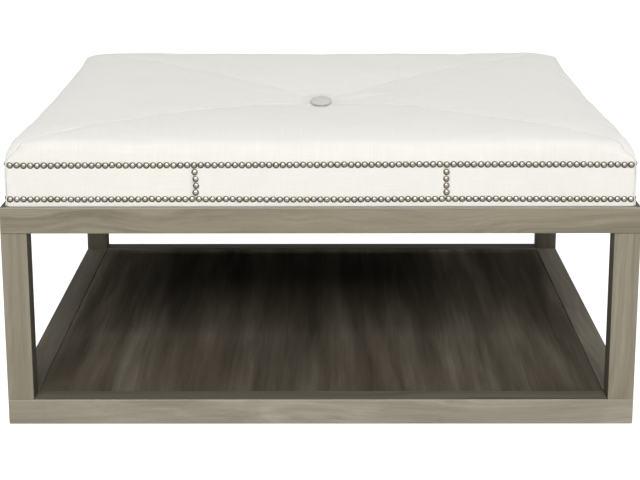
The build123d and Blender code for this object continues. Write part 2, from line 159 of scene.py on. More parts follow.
# ---------------------------------------------------------------- wood
def wood(name, grain, seed, dark, mid, light, contrast=1.0, rough=0.58, figure=1.0, line=0.0, ends=None, shares=(0.40, 0.34, 0.26), bands=42.0, gloss=0.32, ledge=None, painted_arris_highlight=None, inner=None):
    """Timber with its grain along one axis: slow flowing figure, growth lines, fine fibre streaks and pores."""
    t = Tree(name)
    x, y, z = t.split(t.place())
    along, c1, c2 = {"x": (x, y, z), "y": (y, x, z), "z": (z, x, y)}[grain]
    s = seed * 3.7
    # the flow of the grain: cross coordinates wander slowly along the piece
    flow = t.join(t.math("MULTIPLY_ADD", along, 2.1, s), t.math("MULTIPLY", c1, 7.0), t.math("MULTIPLY", c2, 7.0))
    w1 = t.math("SUBTRACT", t.noise(flow, 1.0, 2.0, 0.45), 0.5)
    flow2 = t.join(t.math("MULTIPLY_ADD", along, 6.5, s + 11), t.math("MULTIPLY", c1, 16.0), t.math("MULTIPLY", c2, 16.0))
    w2 = t.math("SUBTRACT", t.noise(flow2, 1.0, 2.0, 0.5), 0.5)
    drift = t.math("ADD", t.math("MULTIPLY", w1, 0.085 * figure), t.math("MULTIPLY", w2, 0.014 * figure))
    g1, g2 = t.math("ADD", c1, drift), t.math("SUBTRACT", c2, drift)
    # growth rings round a pith that lies outside the piece
    px = t.math("ADD", g1, 0.043 + 0.013 * math.sin(seed))
    pz = t.math("ADD", g2, -0.055 + 0.017 * math.cos(seed * 2.0))
    radius = t.math("SQRT", t.math("ADD", t.math("MULTIPLY", px, px), t.math("MULTIPLY", pz, pz)))
    ring_phase = t.math("MULTIPLY_ADD", radius, 118.0, s)
    ring = t.noise(t.join(ring_phase, t.math("MULTIPLY", along, 0.9), s), 1.0, 2.5, 0.6)
    # broad soft bands and fine streaks
    band = t.noise(t.join(t.math("MULTIPLY_ADD", along, 1.7, s + 3), t.math("MULTIPLY", g1, bands), t.math("MULTIPLY", g2, bands)), 1.0, 3.0, 0.5)
    streak = t.noise(t.join(t.math("MULTIPLY_ADD", along, 5.0, s + 7), t.math("MULTIPLY", g1, 210.0), t.math("MULTIPLY", g2, 210.0)), 1.0, 4.0, 0.62)
    fibre = t.noise(t.join(t.math("MULTIPLY_ADD", along, 26.0, s + 5), t.math("MULTIPLY", g1, 1300.0), t.math("MULTIPLY", g2, 1300.0)), 1.0, 2.0, 0.6)
    value = t.math("ADD", t.math("MULTIPLY", ring, shares[0]), t.math("MULTIPLY", band, shares[1]))
    value = t.math("ADD", value, t.math("MULTIPLY", streak, shares[2]))
    value = t.math("MULTIPLY_ADD", t.math("SUBTRACT", value, 0.5), 3.1 * contrast, 0.5, clamp=True)
    colour = t.ramp(value, [(0.0, dark), (0.28, tuple(0.45 * a + 0.55 * b for a, b in zip(dark, mid))), (0.52, mid), (0.78, tuple(0.5 * (a + b) for a, b in zip(mid, light))), (1.0, light)])
    # a faint drift of tint over the whole piece, and the wash caught in the pores
    tint = t.noise(t.join(t.math("MULTIPLY_ADD", along, 3.2, s + 19), t.math("MULTIPLY", c1, 12.0), t.math("MULTIPLY", c2, 12.0)), 1.0, 1.5, 0.5)
    colour = t.mix(t.grey(tint, 0.38, 0.66, 0.0, 0.30), colour, (*[c * f for c, f in zip(mid, (1.07, 0.985, 0.95))], 1))
    pores = t.grey(fibre, 0.30, 0.48, 0.86, 1.0)
    colour = t.mix(1.0, colour, t.join(pores, pores, pores), "MULTIPLY")
    if ends:
        # the glue line of a joint, a hair darker than the timber, at each plane named in ends
        for axis, at in ends:
            value_at = {"x": x, "y": y, "z": z}[axis]
            near = t.grey(t.math("ABSOLUTE", t.math("SUBTRACT", value_at, at)), 0.0003, 0.0013, 1.0, 0.0)
            colour = t.mix(t.math("MULTIPLY", near, line), colour, (*[c * 0.45 for c in dark], 1))
    if ledge:
        # painted light and shade on a top face: between the first two heights above the floor it turns to the fourth
        # value's tone, lighter where light falls on it and darker where it lies in shade
        colour = t.mix(t.grey(z, ledge[0], ledge[1], 0.0, ledge[2]), colour, (*ledge[3], 1))
    if painted_arris_highlight:
        # a painted highlight along the outer arris, where light catches the edge
        arris_light = t.math("MULTIPLY", t.grey(z, painted_arris_highlight[0], painted_arris_highlight[0] + 0.0004, 0.0, painted_arris_highlight[2]), t.grey(z, painted_arris_highlight[1], painted_arris_highlight[1] + 0.0004, 1.0, 0.0))
        arris_light = t.math("MULTIPLY", arris_light, t.grey(t.math("ABSOLUTE", c1), 0.515, 0.520))
        colour = t.mix(arris_light, colour, (*painted_arris_highlight[3], 1))
    if inner:
        # painted shade on the faces turned to the inside of the frame
        nearest = t.math("MINIMUM", t.math("ABSOLUTE", x), t.math("ABSOLUTE", y))
        colour = t.mix(t.grey(nearest, 0.48955, 0.4901, inner, 0.0), colour, (*[c * 0.22 for c in dark], 1))
    roughness = t.grey(value, 0.0, 1.0, rough + 0.08, rough - 0.05)
    height = t.math("ADD", t.math("MULTIPLY", fibre, 0.5), t.math("MULTIPLY", streak, 0.6))
    normal = t.bump(height, 0.35, 0.0005)
    t.principled(Base_Color=colour, Roughness=roughness, Normal=normal, Specular_IOR_Level=gloss)
    return t.material


WASH = dict(dark=rgb(114, 107, 91), mid=rgb(139, 132, 115), light=rgb(161, 156, 141))
LOW_WASH = dict(dark=rgb(125, 118, 104), mid=rgb(151, 145, 131), light=rgb(173, 168, 156))
POST_WASH = dict(dark=rgb(114, 108, 93), mid=rgb(138, 132, 116), light=rgb(161, 156, 142))
DARK_WASH = dict(dark=rgb(72, 66, 55), mid=rgb(106, 99, 86), light=rgb(141, 134, 120))


def paint(node, material):
    data = NODES[node].data
    if not data.materials:
        data.materials.append(material)
    for s in NODES[node].material_slots:
        s.material = material


joint_low, joint_high = 0.047, 0.339
for i, side in enumerate(SIDES):
    grain = "x" if side in ("front", "back") else "y"
    # painted light on the top faces of the front and back rails, painted shade on those of the left and right rails
    edge = (0.3816, 0.3824, 0.7, (0.47, 0.45, 0.40)) if grain == "x" else (0.3816, 0.3824, 0.55, (0.07, 0.06, 0.048))
    # painted shade on the top faces of the base rails, heaviest at the back and lightest on the right
    low = (0.0463, 0.0469, {"front": 0.45, "back": 0.7, "left": 0.4, "right": 0.15}[side], (0.035, 0.031, 0.024))
    # painted highlight along the outer top arris of the base rails
    arris_highlight_tone = (0.0455, 0.0463, 0.6, (0.62, 0.59, 0.52))
    paint("base_rail_" + side, wood("grey_wash_base_" + side, grain, 2.3 + i * 1.7, ledge=low, painted_arris_highlight=arris_highlight_tone, **LOW_WASH))
    paint("top_rail_" + side, wood("grey_wash_top_" + side, grain, 9.1 + i * 2.3, ledge=edge, **WASH))
for i, name in enumerate(("front_left", "front_right", "back_left", "back_right")):
    # the posts' faces turned to the inside of the frame carry painted shade
    paint("post_" + name, wood("grey_wash_post_" + name, "z", 20.4 + i * 3.1, figure=0.7, line=0.45, inner=0.6, ends=[("z", joint_low), ("z", joint_high)], **POST_WASH))
paint("shelf_panel", wood("dark_wash_shelf", "y", 41.0, contrast=1.05, rough=0.7, figure=0.25, shares=(0.12, 0.70, 0.18), bands=19.0, gloss=0.2, **DARK_WASH))
for i, side in enumerate(SIDES):
    paint("shelf_cleat_" + side, wood("cleat_pine_" + side, "x" if side in ("front", "back") else "y", 50 + i, dark=(0.42, 0.29, 0.17), mid=(0.55, 0.40, 0.25), light=(0.66, 0.51, 0.34)))
    paint("seat_box_rail_" + side, wood("box_pine_" + side, "x" if side in ("front", "back") else "y", 60 + i, dark=(0.42, 0.29, 0.17), mid=(0.56, 0.41, 0.26), light=(0.68, 0.52, 0.35)))
    paint("deck_ledger_" + side, wood("ledger_pine_" + side, "x" if side in ("front", "back") else "y", 70 + i, dark=(0.42, 0.29, 0.17), mid=(0.55, 0.40, 0.25), light=(0.66, 0.51, 0.34)))
for i, side in enumerate(("left", "right")):
    paint("cross_brace_" + side, wood("brace_pine_" + side, "y", 80 + i, dark=(0.42, 0.29, 0.17), mid=(0.55, 0.40, 0.25), light=(0.66, 0.51, 0.34)))
paint("corner_blocks", wood("block_pine", "x", 85, dark=(0.42, 0.29, 0.17), mid=(0.55, 0.40, 0.25), light=(0.66, 0.51, 0.34)))
paint("seat_deck", wood("deck_birch", "x", 88, dark=(0.50, 0.36, 0.22), mid=(0.62, 0.48, 0.32), light=(0.72, 0.58, 0.41)))
paint("post_dowels", wood("dowel_beech_posts", "z", 90, dark=(0.48, 0.33, 0.20), mid=(0.58, 0.42, 0.27), light=(0.66, 0.50, 0.34)))
paint("box_dowels", wood("dowel_beech_box", "x", 92, dark=(0.48, 0.33, 0.20), mid=(0.58, 0.42, 0.27), light=(0.66, 0.50, 0.34)))
paint("mitre_biscuits", wood("biscuit_beech", "x", 94, dark=(0.48, 0.33, 0.20), mid=(0.58, 0.42, 0.27), light=(0.66, 0.50, 0.34)))


# ---------------------------------------------------------------- fabric
def fabric(name, base, thread=0.00105, use_attribute=True):
    """Plain-weave upholstery cloth: over and under threads, slubs both ways, uneven dye, a soft sheen."""
    t = Tree(name)
    uv = t.attribute("weave").outputs["Vector"] if use_attribute else t.place()
    u, v, w = t.split(uv)
    wob = t.math("MULTIPLY", t.math("SUBTRACT", t.noise(t.vmath("MULTIPLY", uv, (40.0, 40.0, 0.0)), 1.0, 2.0, 0.5), 0.5), 0.0009)
    uu, vv = t.math("ADD", u, wob), t.math("SUBTRACT", v, wob)
    k = math.pi / thread
    su, sv = t.math("SINE", t.math("MULTIPLY", uu, k)), t.math("SINE", t.math("MULTIPLY", vv, k))
    over = t.math("MULTIPLY", su, sv)  # which thread is on top
    across = t.math("ABSOLUTE", t.math("SINE", t.math("MULTIPLY", uu, k)))
    down = t.math("ABSOLUTE", t.math("SINE", t.math("MULTIPLY", vv, k)))
    weave = t.math("ADD", t.math("MULTIPLY", over, 0.5), t.math("MULTIPLY", t.math("ADD", across, down), 0.25))
    # slubs: thicker runs of single threads, along and across
    slub_u = t.noise(t.join(t.math("MULTIPLY", u, 14.0), t.math("MULTIPLY", v, 620.0), 3.0), 1.0, 2.0, 0.5)
    slub_v = t.noise(t.join(t.math("MULTIPLY", u, 620.0), t.math("MULTIPLY", v, 14.0), 8.0), 1.0, 2.0, 0.5)
    slub = t.math("ADD", t.grey(slub_u, 0.5, 0.75), t.grey(slub_v, 0.5, 0.75))
    cloud = t.noise(t.vmath("MULTIPLY", uv, (6.0, 6.0, 0.0)), 1.0, 3.0, 0.5)
    tone = t.math("ADD", t.math("MULTIPLY", t.math("SUBTRACT", weave, 0.25), 0.05), t.math("MULTIPLY", t.math("SUBTRACT", slub, 0.25), 0.045))
    tone = t.math("ADD", tone, t.math("MULTIPLY", t.math("SUBTRACT", cloud, 0.5), 0.05))
    tone = t.math("ADD", tone, 1.0)
    # painted shade from the attribute: the cloth is darkened in the seams, along the nails and round the button
    painted_shade = t.attribute("painted_shade").outputs["Fac"] if use_attribute else 0.0
    tone = t.math("MULTIPLY", tone, t.math("MULTIPLY_ADD", painted_shade, -0.22, 1.0)) if use_attribute else tone
    colour = t.mix(t.grey(cloud, 0.35, 0.65, 0.0, 0.5), (*base, 1), (*[c * f for c, f in zip(base, (1.0, 0.995, 0.975))], 1))
    colour = t.mix(1.0, colour, t.join(tone, tone, tone), "MULTIPLY")
    fuzz = t.noise(t.vmath("MULTIPLY", uv, (1500.0, 1500.0, 1.0)), 1.0, 2.0, 0.6)
    height = t.math("ADD", t.math("MULTIPLY", weave, 0.7), t.math("MULTIPLY", slub, 0.5))
    height = t.math("ADD", height, t.math("MULTIPLY", fuzz, 0.25))
    normal = t.bump(height, 0.3, 0.0003)
    t.principled(Base_Color=colour, Roughness=t.grey(fuzz, 0.3, 0.7, 0.84, 0.94), Normal=normal, Diffuse_Roughness=0.4, Specular_IOR_Level=0.25, Sheen_Weight=0.10, Sheen_Roughness=0.5)
    return t.material


cover_cloth = fabric("cover_fabric_plain_weave", (0.835, 0.825, 0.80))
button_cloth = fabric("button_fabric_plain_weave", (0.60, 0.59, 0.575), thread=0.0009)


# ---------------------------------------------------------------- other materials
def metal(name, base, rough, scratch=1.0):
    t = Tree(name)
    p = t.place()
    n1 = t.noise(p, 320.0, 3.0, 0.6)
    n2 = t.noise(t.vmath("MULTIPLY", p, (90.0, 90.0, 2400.0)), 1.0, 2.0, 0.6)
    colour = t.mix(t.grey(n1, 0.35, 0.7), (*base, 1), (*[c * 0.72 for c in base], 1))
    t.principled(Base_Color=colour, Metallic=1.0, Roughness=t.grey(n1, 0.3, 0.7, rough - 0.06, rough + 0.1), Normal=t.bump(n2, 0.12 * scratch, 0.0002))
    return t.material


steel = metal("zinc_plated_steel", (0.60, 0.60, 0.57), 0.36)
for name in ("cleat_screws", "shelf_screws", "seat_fixing_screws", "ledger_screws", "brace_screws", "deck_screws", "cover_staples", "dust_cover_staples", "button_shell", "button_back", "twine_washer"):
    paint(name, steel)


def nylon():
    t = Tree("glide_nylon")
    p = t.place()
    n = t.noise(p, 700.0, 3.0, 0.6)
    colour = t.mix(t.grey(t.noise(p, 60.0, 2.0, 0.5), 0.3, 0.7), (0.72, 0.70, 0.65, 1), (0.60, 0.58, 0.53, 1))
    t.principled(Base_Color=colour, Roughness=t.grey(n, 0.3, 0.7, 0.42, 0.58), Normal=t.bump(n, 0.2, 0.0002), Specular_IOR_Level=0.45)
    return t.material


def cells(name, a, b, scale, rough=0.95, strength=0.6):
    """Open-cell foam or felted fibre."""
    t = Tree(name)
    p = t.place()
    v = t.voronoi(p, scale)
    n = t.noise(p, scale * 0.12, 3.0, 0.55)
    colour = t.mix(t.grey(t.math("ADD", v, t.math("MULTIPLY", n, 0.5)), 0.2, 1.0), (*a, 1), (*b, 1))
    t.principled(Base_Color=colour, Roughness=rough, Normal=t.bump(v, strength, 0.0006), Specular_IOR_Level=0.1)
    return t.material


def dust_cloth():
    t = Tree("dust_cover_nonwoven")
    x, y, z = t.split(t.place())
    p = t.place()
    dots = t.voronoi(t.join(t.math("MULTIPLY", x, 420.0), t.math("MULTIPLY", y, 420.0), 0.0), 1.0)
    fibre = t.noise(t.join(t.math("MULTIPLY", x, 700.0), t.math("MULTIPLY", y, 180.0), 1.0), 1.0, 4.0, 0.7, 1.5)
    value = t.math("ADD", t.math("MULTIPLY", t.grey(dots, 0.1, 0.5), 0.6), t.math("MULTIPLY", fibre, 0.5))
    colour = t.ramp(value, [(0.1, (0.010, 0.010, 0.011)), (0.5, (0.018, 0.018, 0.019)), (0.9, (0.034, 0.034, 0.036))])
    t.principled(Base_Color=colour, Roughness=0.9, Normal=t.bump(value, 0.4, 0.0003), Specular_IOR_Level=0.2)
    return t.material


def twine():
    t = Tree("tufting_twine_waxed")
    x, y, z = t.split(t.place())
    ply = t.math("SINE", t.math("ADD", t.math("MULTIPLY", z, 2600.0), t.math("MULTIPLY", t.math("ADD", x, y), 1800.0)))
    colour = t.ramp(t.grey(ply, -1.0, 1.0), [(0.0, (0.48, 0.44, 0.36)), (1.0, (0.80, 0.76, 0.66))])
    t.principled(Base_Color=colour, Roughness=0.7, Normal=t.bump(ply, 0.5, 0.0002))
    return t.material


paint("floor_glides", nylon())
paint("dust_cover", dust_cloth())
paint("tufting_twine", twine())
foam_material = cells("foam_open_cell", (0.80, 0.74, 0.50), (0.66, 0.59, 0.36), 620.0)
wadding_material = cells("wadding_fibre", (0.90, 0.90, 0.88), (0.76, 0.76, 0.75), 260.0, strength=0.8)


def nail_material():
    """Antique pewter: polished crown, dark patina towards the rim, thickened with painted shade on the lower and left
    rim, a tint of its own on each nail.
    """
    t = Tree("nail_head_antique_pewter")
    a = t.attribute("nail")
    rim, tint, warm = t.split(a.outputs["Vector"])
    p = t.place()
    mottle = t.noise(p, 900.0, 3.0, 0.6)
    edge = t.math("ADD", rim, t.math("MULTIPLY", t.math("SUBTRACT", mottle, 0.5), 0.35))
    crown = t.mix(t.grey(warm, 0.0, 1.0), (0.48, 0.455, 0.395, 1), (0.47, 0.435, 0.315, 1))
    crown = t.mix(t.grey(warm, 0.0, -1.0), crown, (0.49, 0.43, 0.385, 1))
    shade = t.math("MULTIPLY_ADD", tint, 0.24, 0.86)
    crown = t.mix(1.0, crown, t.join(shade, shade, shade), "MULTIPLY")
    colour = t.mix(t.grey(edge, 0.50, 0.82), crown, (0.085, 0.074, 0.058, 1))
    t.principled(Base_Color=colour, Metallic=0.72, Roughness=t.grey(edge, 0.2, 1.0, 0.24, 0.52), Normal=t.bump(mottle, 0.12, 0.0002))
    return t.material


# ---------------------------------------------------------------- the cushion's form
def smooth(x, lo, hi):
    s = np.clip((np.asarray(x, float) - lo) / (hi - lo), 0, 1)
    return s * s * (3 - 2 * s)


def spline(points, step=1.0):
    """A centripetal Catmull-Rom line through the points, sampled about every step."""
    p = np.array(points, float)
    p = np.vstack([2 * p[0] - p[1], p, 2 * p[-1] - p[-2]])
    out = []
    for i in range(1, len(p) - 2):
        p0, p1, p2, p3 = p[i - 1], p[i], p[i + 1], p[i + 2]
        t0 = 0.0
        t1 = t0 + max(np.linalg.norm(p1 - p0), 1e-6) ** 0.5
        t2 = t1 + max(np.linalg.norm(p2 - p1), 1e-6) ** 0.5
        t3 = t2 + max(np.linalg.norm(p3 - p2), 1e-6) ** 0.5
        n = max(2, int(np.linalg.norm(p2 - p1) / step))
        t = np.linspace(t1, t2, n, endpoint=False)[:, None]
        a1 = (t1 - t) / (t1 - t0) * p0 + (t - t0) / (t1 - t0) * p1
        a2 = (t2 - t) / (t2 - t1) * p1 + (t - t1) / (t2 - t1) * p2
        a3 = (t3 - t) / (t3 - t2) * p2 + (t - t2) / (t3 - t2) * p3
        b1 = (t2 - t) / (t2 - t0) * a1 + (t - t0) / (t2 - t0) * a2
        b2 = (t3 - t) / (t3 - t1) * a2 + (t - t1) / (t3 - t1) * a3
        out.append((t2 - t) / (t2 - t1) * b1 + (t - t1) / (t2 - t1) * b2)
    return np.vstack(out + [p[-2:-1]])


# Half a section through the seat, from the middle out and down to the flap: (distance from the middle, height above the frame).
crown_points = [(0, 86.6), (12, 86.6), (18, 86.7), (21.5, 87.1), (25, 88.2), (30, 89.0), (38, 89.8), (47, 90.7), (65, 93.0), (85, 96.2), (105, 99.1), (125, 101.4), (150, 103.9), (180, 106.6), (225, 109.7), (288, 112.2), (350, 113.9), (398, 114.5), (434, 114.2), (462, 112.9), (484, 111.0)]
p0, p1, p2, p3 = np.array((502.0, 108.5)), np.array((515.0, 105.6)), np.array((523.4, 99.4)), np.array((524.2, 81.0))
bezier = [tuple((1 - t) ** 3 * p0 + 3 * (1 - t) ** 2 * t * p1 + 3 * (1 - t) * t * t * p2 + t**3 * p3) for t in np.linspace(0, 1, 9)]
band_points = [(524.2, 74.0), (524.0, 70.5), (524.2, 67.0), (524.6, 62.0), (524.9, 54.0), (525.0, 43.0), (525.0, 32.0), (524.8, 22.0), (524.5, 16.2), (524.4, 12.5), (524.8, 8.6), (525.3, 5.2), (525.6, 2.6), (525.5, 1.1), (524.9, 0.4), (523.6, 0.22), (521.0, 0.4), (516.0, 0.9), (503.0, 0.9)]
PROFILE = spline(crown_points + bezier + band_points, 0.8)
LENGTH = np.concatenate([[0], np.cumsum(np.linalg.norm(np.diff(PROFILE, axis=0), axis=1))])
S_END = float(LENGTH[-1])
S_BAND = float(LENGTH[np.argmin(np.abs(PROFILE[:, 0] - 524.2) + np.abs(PROFILE[:, 1] - 74.0))])
S_ROLL = float(LENGTH[np.argmin(np.abs(PROFILE[:, 0] - 486.0) + np.abs(PROFILE[:, 1] - 110.8))])


def section(s):
    return np.interp(s, LENGTH, PROFILE[:, 0]), np.interp(s, LENGTH, PROFILE[:, 1])


def corner_radius(a, z, s):
    """The plan's corner radius of the ring at this place: round in the middle, about 50 at the crown, 9 at the band."""
    a = np.asarray(a, float)
    top = a * np.where(a < 30, 1.0, 0.104 + 0.896 * np.exp(-np.maximum(a - 30, 0) / 90.0))
    side = 9.0 + 49.0 * smooth(z, 73.0, 99.0)
    r = np.where(np.asarray(s) < S_ROLL, top, np.minimum(side, top.max() if top.size else 58.0))
    return np.minimum(np.maximum(r, 1e-3), a)


def half_length(s):
    a, z = section(s)
    r = corner_radius(a, z, s)
    return a - r + r * math.pi / 4


def front_point(s, p):
    """A point of the front quarter, in mm: s along the section, p along the ring from the left diagonal (0) to the right one."""
    s, p = np.broadcast_arrays(np.asarray(s, float), np.asarray(p, float))
    a, z = section(s)
    r = corner_radius(a, z, s)
    h = a - r + r * math.pi / 4
    q = np.where(p <= h, p, 2 * h - p)  # from the nearer diagonal
    arc = q < r * math.pi / 4
    theta = math.radians(225) + q / np.maximum(r, 1e-6)
    x = np.where(arc, -(a - r) + r * np.cos(theta), -(a - r) + (q - r * math.pi / 4))
    y = np.where(arc, -(a - r) + r * np.sin(theta), -a)
    x = np.where(p <= h, -np.abs(x), np.abs(x))
    # the top edge is drawn in a little between the corners, and the crown is fuller away from the seams
    span = np.cos(np.clip(x / SEAT, -1, 1) * math.pi / 2) ** 2
    y = y + 7.0 * span * smooth(z, 76.0, 104.0) * smooth(a, 250.0, 470.0)
    z = z + 1.2 * span * smooth(a, 120.0, 300.0) * smooth(S_ROLL - s, -10.0, 80.0)
    z = z - 1.5 * np.exp(-((q / 26.0) ** 2)) * smooth(s, 50.0, 110.0) * smooth(S_ROLL + 25.0 - s, 0.0, 60.0)
    return np.stack([x, y, z], axis=-1)


def leaning(world):
    """How much the seat lies off the plain form near the button, in mm: the button leans forward, with a shallow valley before it."""
    x, y = world[..., 0], world[..., 1]
    r = np.hypot(x, y)
    lean = np.interp(r, [0, 21.5, 30, 45, 60, 85, 110], [6.5, 6.3, 5.2, 2.8, 1.4, 0.4, 0.0])
    out = lean * np.where(r < 21.5, y / 21.5, y / np.maximum(r, 21.5))
    front = np.exp(-(((x + 6.0) / 46.0) ** 2)) * np.interp(-y, [0, 30, 60, 110, 180, 300, 430], [0.0, 1.0, 4.3, 4.9, 3.5, 1.7, 0.0])
    front = front + np.exp(-((x / 26.0) ** 2)) * np.interp(-y, [15, 23, 40, 75], [0.0, 1.7, 1.5, 0.0])
    return out - front


def turned(points, side):
    a = math.radians(TURN[side])
    c, s = math.cos(a), math.sin(a)
    x, y, z = points[..., 0], points[..., 1], points[..., 2]
    return np.stack([c * x - s * y, s * x + c * y, z], axis=-1)


def normals_of(grid, side="front"):
    """Outward normals of a grid of one side's quarter: rows run from the middle outward, columns from left to right."""
    du, dv = np.gradient(grid, axis=1), np.gradient(grid, axis=0)
    n = np.cross(dv, du)
    n /= np.maximum(np.linalg.norm(n, axis=-1, keepdims=True), 1e-12)
    mid = n[n.shape[0] // 3, n.shape[1] // 2]
    if mid[2] < 0:
        n = -n
    # along the two seams the normal lies in the seam's own plane, so that neighbouring panels meet
    for column, e in ((0, (1.0, -1.0, 0.0)), (-1, (1.0, 1.0, 0.0))):
        e = turned(np.array(e), side) / math.sqrt(2)
        v = n[:, column]
        v = v - (v @ e)[:, None] * e
        n[:, column] = v / np.linalg.norm(v, axis=-1, keepdims=True)
    return n


def waves(seed, count, low, high, flat=True):
    """A smooth random field: a sum of cosines with wavelengths from low to high, in mm."""
    r = np.random.default_rng(seed)
    k = 2 * math.pi / r.uniform(low, high, count)
    d = r.normal(size=(count, 3))
    if flat:
        d[:, 2] *= 0.25
    d /= np.linalg.norm(d, axis=1, keepdims=True)
    phase = r.uniform(0, 2 * math.pi, count)

    def f(points):
        shape = points.shape[:-1]
        q = points.reshape(-1, 3)
        total = np.zeros(len(q))
        for ki, di, ph in zip(k, d, phase):
            total += np.cos(q @ (di * ki) + ph)
        return (total / math.sqrt(count / 2)).reshape(shape)

    return f


def line_noise(seed, low, high, count=9):
    r = np.random.default_rng(seed)
    k = 2 * math.pi / r.uniform(low, high, count)
    phase = r.uniform(0, 2 * math.pi, count)
    return lambda s: sum(np.cos(ki * np.asarray(s) + ph) for ki, ph in zip(k, phase)) / math.sqrt(count / 2)


SEAMS = {"front": (0, 1), "right": (1, 2), "back": (2, 3), "left": (3, 0)}  # left and right seam of each side, seen from outside
swell, ripple = waves(11, 26, 150.0, 420.0), waves(12, 30, 45.0, 110.0)
seam_depth = [line_noise(30 + i, 40.0, 160.0) for i in range(4)]
seam_pucker = [line_noise(40 + i, 60.0, 200.0) for i in range(4)]
pull_wave = line_noise(51, 0.5, 2.2, 12)


def detail(side, s, p, h, world):
    """How far the cloth stands off the plain form along its normal, in mm, and how much painted shade darkens it: in
    the seams, round the nails and round the button.
    """
    lift = 0.85 * swell(world) + 0.16 * ripple(world)
    free = smooth(s, 24.0, 60.0) * smooth(S_BAND - s, 0.0, 40.0)
    lift = lift * free
    # pulls that run out from the button
    r = np.hypot(world[..., 0], world[..., 1])
    angle = np.arctan2(world[..., 1], world[..., 0])
    spokes = 0.0
    g = np.random.default_rng(77)
    for k in range(11):
        at, width, reach, size = g.uniform(-math.pi, math.pi), g.uniform(0.07, 0.17), g.uniform(45, 120), g.uniform(0.35, 0.95)
        d = (angle - at + math.pi) % (2 * math.pi) - math.pi
        spokes = spokes - size * np.exp(-((d / width) ** 2)) * np.exp(-np.maximum(r - 26, 0) / reach)
    lift = lift + spokes * smooth(r, 21.0, 30.0)
    # small gathers over the upper nails and between the rows
    gather = 0.16 * line_noise(61 + TURN[side], 18.0, 46.0)(world[..., 0] * math.cos(math.radians(TURN[side])) + world[..., 1] * math.sin(math.radians(TURN[side])))
    lift = lift + gather * np.exp(-np.abs(s - (S_BAND - 6.0)) / 16.0)
    # the two seams
    painted_shade = np.zeros_like(lift)
    for which, o in ((SEAMS[side][0], p), (SEAMS[side][1], 2 * h - p)):
        depth = 1.15 + 0.40 * seam_depth[which](s)
        depth = depth * np.where(s > S_ROLL, 1 - 0.45 * smooth(s, S_ROLL, S_BAND), 1.0) * smooth(s, 16.0, 34.0)
        lift = lift - depth * np.exp(-((o / 1.9) ** 2)) - 0.30 * np.exp(-((o / 9.0) ** 2)) * smooth(s, 40.0, 90.0)
        pucker = 0.16 * np.sin(2 * math.pi * s / 15.0 + 2.2 * seam_pucker[which](s)) + 0.14 * np.sin(2 * math.pi * s / 9.5 + 1.5)
        lift = lift + pucker * np.exp(-((o / 7.0) ** 2)) * (1 - np.exp(-((o / 1.6) ** 2))) * smooth(s, 40.0, 90.0) * smooth(S_BAND + 5 - s, 0.0, 20.0)
        if side in ("left", "right"):  # the seam allowance is pressed under these two panels
            lift = lift + (0.30 + 0.12 * seam_pucker[which](s * 1.7)) * np.exp(-(((o - 6.5) / 5.0) ** 2)) * smooth(s, 40.0, 80.0)
        # painted shade in the seam's valley
        painted_shade = np.maximum(painted_shade, np.exp(-((o / 1.1) ** 2)) * np.clip(1.0 + 0.40 * seam_depth[which](s + 37.0), 0.4, 1.4))
    # painted shade on the cloth along the nail rows and between the divider nails
    a, z = section(s)
    on_band = smooth(s, S_BAND - 12.0, S_BAND - 6.0)
    rows = np.exp(-(((z - 70.5) / 3.4) ** 2)) + np.exp(-(((z - 12.5) / 3.4) ** 2)) * smooth(z, 4.0, 9.0)
    lines = np.exp(-(((np.abs(p - h) - 209.05) / 3.2) ** 2)) * smooth(z, 10.0, 14.0) * smooth(74.0 - z, 0.0, 4.0)
    painted_shade = np.maximum(painted_shade, 1.9 * on_band * np.clip(rows * smooth(h - np.abs(p - h), 2.0, 9.0) + lines, 0, 1))
    # the cloth drawn in along the divider nails where it stands out past the band, and painted shade where the cloth
    # turns under the button's rim and round the button
    lift = lift - np.maximum(a - 524.45, 0.0) * np.exp(-(((np.abs(p - h) - 209.05) / 10.0) ** 2)) * smooth(z, 12.5, 16.0) * smooth(71.0 - z, 0.0, 3.0)
    before = smooth(-world[..., 1] / np.maximum(r, 1.0), -0.45, 0.25)
    painted_shade = np.maximum(painted_shade, (0.15 + 1.5 * before) * np.exp(-(((r - 21.4) / 1.1) ** 2)))
    painted_shade = np.maximum(painted_shade, 0.42 * np.exp(-((np.maximum(r - 21.0, 0) / 21.0) ** 2)))
    # the right panel is a little fuller beside the button, the left one less so
    lift = lift + 3.3 * np.exp(-(((world[..., 0] - 80.0) / 40.0) ** 2) - (((world[..., 1] - 7.0) / 14.0) ** 2)) * smooth(r, 24.0, 46.0)
    lift = lift + 0.7 * np.exp(-(((world[..., 0] + 62.0) / 20.0) ** 2) - (((world[..., 1] - 10.0) / 14.0) ** 2))
    return lift, painted_shade


# ---------------------------------------------------------------- cloth simulation of the cover
M, K = 54, 13  # rings on the top, rows on the band


